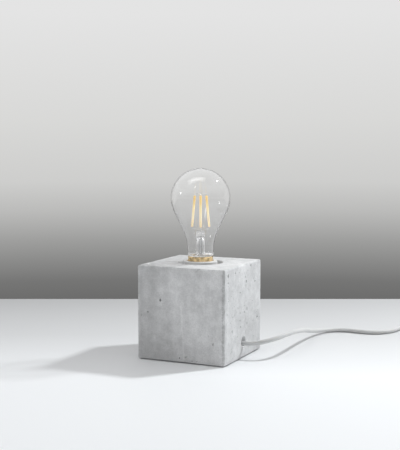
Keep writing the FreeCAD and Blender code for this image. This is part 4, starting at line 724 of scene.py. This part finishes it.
def glassProfile(inset):
    crown = bulb["radius"] - inset
    neck = bulb["neckRadius"] - inset
    waist = bulb["waistRound"] + inset
    seal = bulb["sealRadius"] - inset
    slope = math.radians(bulb["flankAngle"])
    centre = bulb["top"] - bulb["radius"]
    flankTop = (crown * math.cos(slope), centre - crown * math.sin(slope))
    corner = flankTop[1] - (flankTop[0] - neck) / math.tan(slope)
    neckTop = corner - waist * math.tan(slope / 2)
    points = arcPoints((0, centre), crown, 90, -bulb["flankAngle"], bulb["crownSteps"])
    points[0] = (0, centre + crown)
    points += arcPoints((neck + waist, neckTop), waist, 180 - bulb["flankAngle"], 180,
                        bulb["waistSteps"])
    points += [(radius - inset, height) for radius, height in bulb["taper"]]
    points.append((bulb["capRadius"] - inset, bulb["capTop"]))
    points.append((seal, bulb["capTop"] - bulb["sealDrop"]))
    points.append((seal, bulb["foot"]))
    return points


glassPiece = addObject("bulbGlass", turnedMesh(
    "bulbGlass", glassProfile(0) + glassProfile(bulb["wall"])[::-1], bulb["steps"]))
glassPiece.data.materials.append(materials["clear_glass"])
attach(glassPiece, "bulb")
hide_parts("bulb_glass")

# Glass stem: a flare, a tube and the press that holds the wires, pinched from the tube
stem = {
    "turn": 25.5,
    "steps": 72,
    "wall": 0.0008,
    "outside": [  # half width along the press, half width across it, height
        (0.01150, 0.01150, 0.1010), (0.01080, 0.01080, 0.1014), (0.00884, 0.00884, 0.1037),
        (0.00700, 0.00700, 0.1056), (0.00580, 0.00580, 0.1072), (0.00485, 0.00485, 0.1092),
        (0.00450, 0.00450, 0.1120), (0.00450, 0.00450, 0.1180), (0.00450, 0.00450, 0.1232),
        (0.00452, 0.00420, 0.1250), (0.00456, 0.00330, 0.1267), (0.00458, 0.00225, 0.1282),
        (0.00456, 0.00170, 0.1296), (0.00452, 0.00158, 0.1312), (0.00448, 0.00156, 0.1323),
        (0.00430, 0.00140, 0.1331), (0.00370, 0.00095, 0.1335),
    ],
    "hollowRings": 8,  # as many of them have a ring inside, and then it closes
    "insideTop": [(0.00370, 0.1225), (0.00350, 0.1240), (0.00270, 0.1254), (0.00130, 0.1262)],
    "tip": 0.0001,
    "squareness": 0.35,
    "squareFrom": 0.003,  # full where one half width is this much more than the other
}


def stemMesh():
    mesh = bmesh.new()
    steps = stem["steps"]
    outside = []
    for wide, deep, height in stem["outside"]:
        # the press has flat sides
        square = 1 - stem["squareness"] * min(max((wide - deep) / stem["squareFrom"], 0), 1)
        outside.append(addRing(mesh, steps, height, wide, deep, square))
    hollow = [(wide - stem["wall"], height)
              for wide, deep, height in stem["outside"][:stem["hollowRings"]]]
    inside = [addRing(mesh, steps, height, radius) for radius, height in
              hollow + stem["insideTop"]]
    for rings in (outside, inside):
        for low, high in zip(rings, rings[1:]):
            joinRings(mesh, low, high)
        tip = sum((vert.co for vert in rings[-1]), Vector()) / steps
        joinRings(mesh, rings[-1], [mesh.verts.new(tip + Vector((0, 0, stem["tip"])))])
    joinRings(mesh, outside[0], inside[0])
    bmesh.ops.recalc_face_normals(mesh, faces=mesh.faces)
    data = meshFrom(mesh, "bulbStem")
    data.transform(Matrix.Rotation(math.radians(stem["turn"]), 4, "Z"))
    data.shade_smooth()
    return data


stemPiece = addObject("bulbStem", stemMesh())
stemPiece.data.materials.append(materials["stem_glass"])
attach(stemPiece, "bulb")
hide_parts("bulb_stem")

# Filaments: coated rods with rounded ends
filament = {
    "count": 4,
    "turn": 25.5,
    "diameter": 0.0024,
    "lowRadius": 0.0092,
    "highRadius": 0.0062,
    "low": 0.1379,
    "high": 0.1715,
    "sides": 24,
    "steps": 20,
    "endHeight": 0.7,  # of the rod's radius
    "swell": 0.00003,
    "swellScale": 400,
    "swellPlace": (1.08, 12),
}


def filamentMesh(name):
    length = math.hypot(filament["high"] - filament["low"],
                        filament["lowRadius"] - filament["highRadius"])
    radius = filament["diameter"] / 2
    end = [(radius * math.sin(math.radians(angle)),
            radius * filament["endHeight"] * (1 - math.cos(math.radians(angle))))
           for angle in (30, 60, 90)]
    profile = [(0, 0)] + end
    for index in range(1, filament["steps"]):
        height = radius + (length - 2 * radius) * index / filament["steps"]
        spot = Vector((height * filament["swellScale"], *filament["swellPlace"]))
        profile.append((radius + (noise.noise(spot) - 1) * filament["swell"], height))
    profile += [(wide, length - rise) for wide, rise in end[::-1]]
    profile.append((0, length))
    return turnedMesh(name, profile, filament["sides"])


lean = math.atan2(filament["highRadius"] - filament["lowRadius"],
                  filament["high"] - filament["low"])
for number in range(filament["count"]):
    name = f"filamentRod{number + 1}"
    rod = filamentMesh(name)
    turn = math.radians(filament["turn"] + 360 / filament["count"] * number)
    rod.transform(Matrix.Rotation(turn, 4, "Z")
                  @ Matrix.Translation((filament["lowRadius"], 0, filament["low"]))
                  @ Matrix.Rotation(lean, 4, "Y"))
    rod.materials.append(materials["phosphor"])
    piece = addObject(name, rod)
    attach(piece, "bulb")
    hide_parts(f"filament_{number + 1}")
print("bulb made")

# Concrete block: a rounded grid, slightly uneven, with its holes and pits cut out
block = {
    "half": 0.05,
    "bottom": 0.0008,
    "top": 0.1,
    "edgeRadius": 0.0018,
    "gridStep": 0.0032,
    "unevenness": 0.00012,
    "unevenScale": 38,
    "edgeWear": 0.00035,
    "wearScale": 150,
    "wearPlace": (3, 1, 7),
    "wearShift": 0.1,
    "wearPower": 1.3,
    "sharpAngle": 38,
    "holeSteps": 96,
    "below": -0.0032,  # the cutters from below start here, and go this far past the web
    "pastWeb": 0.004,
    "recessRadius": 0.024,
    "recessFloor": 0.044,
    "recessEnd": 0.103,
    "lipRadius": 0.001,
    "cavityRadius": 0.032,
    "cavityTop": 0.032,
    "coverRadius": 0.0428,
    "coverTop": 0.0038,
    "webHole": 0.00525,
    "insertRadius": 0.0025,
    "insertTop": 0.0118,
    "insertCircle": 0.0375,
    "insertAngles": (60, 180, 300),
    "outletRadius": 0.0058,
    "outletHeight": 0.0172,
    "outletStart": 0.028,
    "outletEnd": 0.056,
    "outletMouth": [(0.0, 0.0492), (0.0001, 0.0495), (0.0006, 0.0501)],  # wider by, at
    "outletRipple": 0.03,
    "rippleScale": 350,
    # listed pits: along the face, height, half width, half height, depth
    "pits": {
        "right": [
            (-0.0415, 0.0930, 0.0013, 0.0022, 0.0016), (-0.0415, 0.0857, 0.0009, 0.0012, 0.0010),
            (-0.0405, 0.0822, 0.0004, 0.0005, 0.0004), (-0.0420, 0.0884, 0.0004, 0.0005, 0.0004),
            (0.0070, 0.0810, 0.0012, 0.0017, 0.0013), (0.0066, 0.0770, 0.0006, 0.0013, 0.0006),
            (0.0323, 0.0786, 0.0011, 0.0011, 0.0011), (0.0204, 0.0966, 0.0011, 0.0013, 0.0011),
            (-0.0124, 0.0927, 0.0006, 0.0007, 0.0006), (-0.0098, 0.0713, 0.0011, 0.0010, 0.0009),
            (-0.0309, 0.0339, 0.0009, 0.0019, 0.0011), (0.0098, 0.0515, 0.0008, 0.0022, 0.0009),
            (0.0099, 0.0359, 0.0009, 0.0011, 0.0009), (-0.0084, 0.0347, 0.0010, 0.0008, 0.0008),
            (0.0324, 0.0550, 0.0004, 0.0006, 0.0005), (0.0285, 0.0862, 0.0005, 0.0005, 0.0005),
            (0.0030, 0.0905, 0.0004, 0.0006, 0.0005), (-0.0210, 0.0790, 0.0004, 0.0005, 0.0004),
            (0.0075, 0.0600, 0.0004, 0.0009, 0.0004),
        ],
        "front": [
            (-0.0232, 0.0645, 0.0012, 0.0017, 0.0013), (-0.0378, 0.0511, 0.0010, 0.0009, 0.0008),
            (-0.0048, 0.0573, 0.0004, 0.0008, 0.0004), (-0.0116, 0.0809, 0.0005, 0.0010, 0.0004),
            (0.0413, 0.0969, 0.0006, 0.0005, 0.0005), (0.0216, 0.0994, 0.0012, 0.0007, 0.0007),
            (0.0133, 0.0034, 0.0012, 0.0008, 0.0008), (0.0186, 0.0038, 0.0010, 0.0007, 0.0007),
        ],
    },
    # small pits scattered on each face
    "scattered": {"right": 100, "front": 26, "left": 60, "back": 66, "top": 16},
    "seed": 7,
    "tries": 4000,
    "spread": 0.047,
    "heights": (0.005, 0.097),
    "pitSize": 0.00028,
    "pitGrowth": 0.00050,
    "pitStretch": (0.9, 1.8),
    "pitGap": 0.0012,
    "fromRecess": 0.029,
    "fromOutlet": 0.010,
    "pitRough": 0.28,
    "pitRoughScale": 1.6,
    "pitPlace": (900, 900, 9000),  # how far a pit's own noise is from another's
}


def gridLines(half):
    radius = block["edgeRadius"]
    inner = half - radius
    bend = [inner + radius * math.tan(math.radians(angle)) for angle in (15, 30, 45)]
    count = round(2 * inner / block["gridStep"])
    middle = [-inner + 2 * inner * index / count for index in range(count + 1)]
    return [-value for value in bend[::-1]] + middle + bend


def roundedBlock():
    middle = (block["bottom"] + block["top"]) / 2
    halves = (block["half"], block["half"], (block["top"] - block["bottom"]) / 2)
    radius = block["edgeRadius"]
    mesh = bmesh.new()
    made = {}

    def vertexAt(spot):
        key = tuple(round(value, 7) for value in spot)
        if key not in made:
            held = Vector([min(max(value, radius - half), half - radius)
                           for value, half in zip(spot, halves)])
            away = (Vector(spot) - held).normalized()
            point = held + away * radius
            past = [abs(value) > half - radius - 1e-7 for value, half in zip(spot, halves)]
            dip = block["unevenness"] * noise.noise(point * block["unevenScale"])
            if sum(past) > 1:  # on an edge
                bite = noise.noise(point * block["wearScale"] + Vector(block["wearPlace"]))
                bite = max(bite + block["wearShift"], 0) ** block["wearPower"]
                dip += block["edgeWear"] * bite
            point -= away * dip
            made[key] = mesh.verts.new(point + Vector((0, 0, middle)))
        return made[key]

    lines = [gridLines(half) for half in halves]
    for axis in range(3):
        first, second = [other for other in range(3) if other != axis]
        for side in (-1, 1):
            for a, b in zip(lines[first], lines[first][1:]):
                for c, d in zip(lines[second], lines[second][1:]):
                    spots = []
                    for u, v in ((a, c), (b, c), (b, d), (a, d)):
                        spot = [0.0, 0.0, 0.0]
                        spot[axis], spot[first], spot[second] = side * halves[axis], u, v
                        spots.append(vertexAt(spot))
                    mesh.faces.new(spots)
    bmesh.ops.recalc_face_normals(mesh, faces=mesh.faces)
    return meshFrom(mesh, "concreteBlock")


def roundCutter(radius, high, steps):
    low = block["below"]
    return turnedMesh("cutter", [(0, low), (radius, low), (radius, high), (0, high)], steps)


def holeCutters():
    lip = block["lipRadius"]
    recess = [(0, block["recessFloor"]), (block["recessRadius"], block["recessFloor"])]
    recess += arcPoints((block["recessRadius"] + lip, block["top"] - lip), lip, 180, 90, 5)
    recess += [(block["recessRadius"] + lip, block["recessEnd"]), (0, block["recessEnd"])]
    cutters = [turnedMesh("cutter", recess, block["holeSteps"])]
    for radius, high in ((block["cavityRadius"], block["cavityTop"]),
                         (block["coverRadius"], block["coverTop"]),
                         (block["webHole"], block["recessFloor"] + block["pastWeb"])):
        cutters.append(roundCutter(radius, high, block["holeSteps"]))
    for angle in block["insertAngles"]:
        insert = roundCutter(block["insertRadius"], block["insertTop"], 24)
        across, along = math.cos(math.radians(angle)), math.sin(math.radians(angle))
        insert.transform(Matrix.Translation((block["insertCircle"] * across,
                                             block["insertCircle"] * along, 0)))
        cutters.append(insert)
    profile = [(0, block["outletStart"]), (block["outletRadius"], block["outletStart"])]
    profile += [(block["outletRadius"] + wider, at) for wider, at in block["outletMouth"]]
    profile += [(profile[-1][0], block["outletEnd"]), (0, block["outletEnd"])]
    outlet = turnedMesh("cutter", profile, 48)
    for vertex in outlet.vertices:
        ripple = 1 + block["outletRipple"] * noise.noise(vertex.co * block["rippleScale"])
        vertex.co.x *= ripple
        vertex.co.y *= ripple
    outlet.transform(Matrix.Translation((0, 0, block["outletHeight"]))
                     @ Matrix.Rotation(math.radians(90), 4, "Y"))
    cutters.append(outlet)
    return cutters


def scatteredPits():
    maker = random.Random(block["seed"])
    reach = block["spread"]
    pits = [(face, *pit) for face, placed in block["pits"].items() for pit in placed]
    for face, count in block["scattered"].items():
        tries = 0
        placed = 0
        while placed < count and tries < block["tries"]:
            tries += 1
            along = maker.uniform(-reach, reach)
            height = maker.uniform(*((-reach, reach) if face == "top" else block["heights"]))
            size = block["pitSize"] + block["pitGrowth"] * maker.random() ** 2
            if face == "top" and math.hypot(along, height) < block["fromRecess"]:
                continue
            if (face == "right" and math.hypot(along, height - block["outletHeight"])
                    < block["fromOutlet"]):
                continue
            if any(other[0] == face and math.hypot(other[1] - along, other[2] - height)
                   < block["pitGap"] + size + max(other[3:5]) for other in pits):
                continue
            pits.append((face, along, height, size, size * maker.uniform(*block["pitStretch"]),
                         size))
            placed += 1
    return pits


def pitCutter():
    half = block["half"]
    mesh = bmesh.new()
    for face, along, height, wide, tall, deep in scatteredPits():
        ball = bmesh.ops.create_icosphere(mesh, subdivisions=2, radius=1)["verts"]
        place, turn, axis = {
            "right": ((half, along, height), 90, "Z"),
            "left": ((-half, along, height), -90, "Z"),
            "front": ((along, -half, height), 0, "Z"),
            "back": ((along, half, height), 180, "Z"),
            "top": ((along, height, block["top"]), -90, "X"),
        }[face]
        place = Matrix.Translation(place) @ Matrix.Rotation(math.radians(turn), 4, axis)
        offset = Vector([far * value for far, value in
                         zip(block["pitPlace"], (along, height, wide))])
        for vertex in ball:
            bump = noise.noise(vertex.co * block["pitRoughScale"] + offset)
            rough = 1 + block["pitRough"] * bump
            vertex.co = place @ (vertex.co * rough * Vector((wide, deep, tall)))
    return meshFrom(mesh, "cutter")


def carve(target, cutters):
    for data in cutters:
        tool = addObject("cutter", data)
        step = target.modifiers.new("carve", "BOOLEAN")
        step.operation = "DIFFERENCE"
        step.solver = "EXACT"
        step.use_self = data is cutters[-1]  # only the pits can run into each other
        step.object = tool
        carved = meshOf(target)
        target.modifiers.remove(step)
        target.data = carved
        bpy.data.objects.remove(tool)


blockPiece = addObject("concreteBlock", roundedBlock())
carve(blockPiece, holeCutters() + [pitCutter()])
blockPiece.data.materials.clear()
blockPiece.data.materials.append(materials["cast_concrete"])
blockPiece.data.shade_smooth()
blockPiece.data.set_sharp_from_angle(angle=math.radians(block["sharpAngle"]))
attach(blockPiece, "lamp")
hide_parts("concrete_block")
print("block made:", len(blockPiece.data.polygons), "faces")

# Table top and the space behind it
table = {
    "farEdge": 1.406,  # from under the camera
    "nearEdge": -4.0,
    "halfWidth": 4.0,
    # painted shade: the table's colour darkens towards its far edge between these distances
    "paintedShadeFade": (0.95, 1.40),
    "stops": [(0.0, (0.870, 0.882, 0.893)), (0.45, (0.63, 0.635, 0.64)),
              (1.0, (0.46, 0.462, 0.465))],
    "roughness": 0.6,
    "specular": 0.2,
}
heading = math.radians(view["turn"])
ahead = Vector((-math.sin(heading), math.cos(heading), 0))
aside = Vector((ahead.y, -ahead.x, 0))
foot = Vector((view["place"][0], view["place"][1], 0))
tableMesh = bpy.data.meshes.new("table")
tableMesh.from_pydata(
    [tuple(foot + ahead * table[edge] + aside * side * table["halfWidth"])
     for edge, side in (("nearEdge", -1), ("nearEdge", 1), ("farEdge", 1), ("farEdge", -1))],
    [], [(0, 1, 2, 3)])
tableTop = addObject("tableTop", tableMesh)
tableMaterial, tree, shader = newMaterial("tableTop")
start, end = (foot.dot(ahead) + far for far in table["paintedShadeFade"])
depth = distanceAlong(tree, splitPlace(tree)[1], ahead)
# painted shade on the far part of the table
link(tree, colourRamp(tree, remap(tree, depth, start, end, kind="LINEAR"), table["stops"]),
     shader.inputs["Base Color"])
setInputs(shader, {"Roughness": table["roughness"], "Specular IOR Level": table["specular"]})
tableMesh.materials.append(tableMaterial)

# Backdrop: seen, reflected and looked through, but it doesn't light the object
world = bpy.data.worlds.new("studio")
scene.world = world
world.use_nodes = True
tree = world.node_tree
backdrop = {
    "ambient": (0.475, 0.477, 0.482),
    "fromBehind": 0.28,  # how much brighter the far side of the room is than the near side
    # the unlit room behind the camera, and the pale ceiling above it all
    "room": (0.9, 0.9, 0.9, 1),
    "roomFrom": (-0.93, -0.45),
    "ceiling": (1.0, 1.0, 1.0, 1),
    "ceilingFrom": (0.2, 0.5),
    "heights": (-0.2, 0.12),
    "warmth": 0.985,
    "stops": [(0.115, 0.152), (0.17, 0.18), (0.235, 0.26), (0.297, 0.345), (0.39, 0.50),
              (0.48, 0.615), (0.67, 0.69)],
    "lowest": 0.145,
    "highest": 0.775,
}
stops = [(spot, (level, level, level * backdrop["warmth"])) for spot, level in backdrop["stops"]]
stops = [(0.0, (backdrop["lowest"],) * 3)] + stops + [(1.0, (backdrop["highest"],) * 3)]
parts = splitPlace(tree, "Generated")[1]
sky = colourRamp(tree, remap(tree, parts["Z"], *backdrop["heights"], kind="LINEAR"), stops)
facing = distanceAlong(tree, parts, -ahead)
sky = mixColours(tree, remap(tree, facing, *backdrop["roomFrom"]), sky, backdrop["room"])
sky = mixColours(tree, remap(tree, parts["Z"], *backdrop["ceilingFrom"]), sky,
                 backdrop["ceiling"])
seen = tree.nodes["Background"]
link(tree, sky, seen.inputs["Color"])
seen.inputs["Strength"].default_value = 1
ambient = addNode(tree, "Background", {"Color": (*backdrop["ambient"], 1)})
link(tree, onePlus(tree, parts["Y"], backdrop["fromBehind"]), ambient.inputs["Strength"])
rays = addNode(tree, "LightPath").outputs
shown = greatest(tree, rays["Is Camera Ray"], rays["Is Glossy Ray"],
                 rays["Is Transmission Ray"])
link(tree, mixShaders(tree, shown, ambient.outputs[0], seen.outputs[0]),
     tree.nodes["World Output"].inputs["Surface"])

# Lamps of the studio: directions are right of, away from and above the camera's own
overhead = (-0.205, -0.158, 0.965)
lamps = {
    "key": {"from": (0.647, 0.270, 0.713), "distance": 1.4, "size": (0.12, 0.12), "watts": 13.4,
            "colour": (0.95, 0.98, 1.0)},
    "softboxWide": {"from": overhead, "distance": 1.6, "size": (1.5, 0.62), "watts": 2.9},
    "softboxMiddle": {"from": overhead, "distance": 1.59, "size": (1.1, 0.42), "watts": 1.5},
    "softboxCore": {"from": overhead, "distance": 1.58, "size": (0.75, 0.24), "watts": 0.6},
    "sideSpot": {"from": (-0.945, -0.097, 0.310), "distance": 1.5, "size": (0.13, 0.18),
                 "watts": 0.6},
    "frontSpot": {"from": (-0.310, -0.617, 0.719), "distance": 1.5, "size": (0.13, 0.13),
                  "watts": 0.16},
}
aimedAt = Vector((0, 0, 0.08))
for name, lamp in lamps.items():
    data = bpy.data.lights.new(name, "AREA")
    data.shape = "RECTANGLE"
    data.size, data.size_y = lamp["size"]
    data.energy = lamp["watts"]
    data.color = lamp.get("colour", (1, 1, 1))
    right, away, up = lamp["from"]
    out = (aside * right + ahead * away + Vector((0, 0, up))).normalized()
    level = (aside - out * aside.dot(out)).normalized()
    turned = Matrix((level, out.cross(level), out)).transposed().to_4x4()
    thing = addObject(name, data)
    thing.matrix_world = Matrix.Translation(aimedAt + out * lamp["distance"]) @ turned
    thing.visible_camera = False
print("stage set")
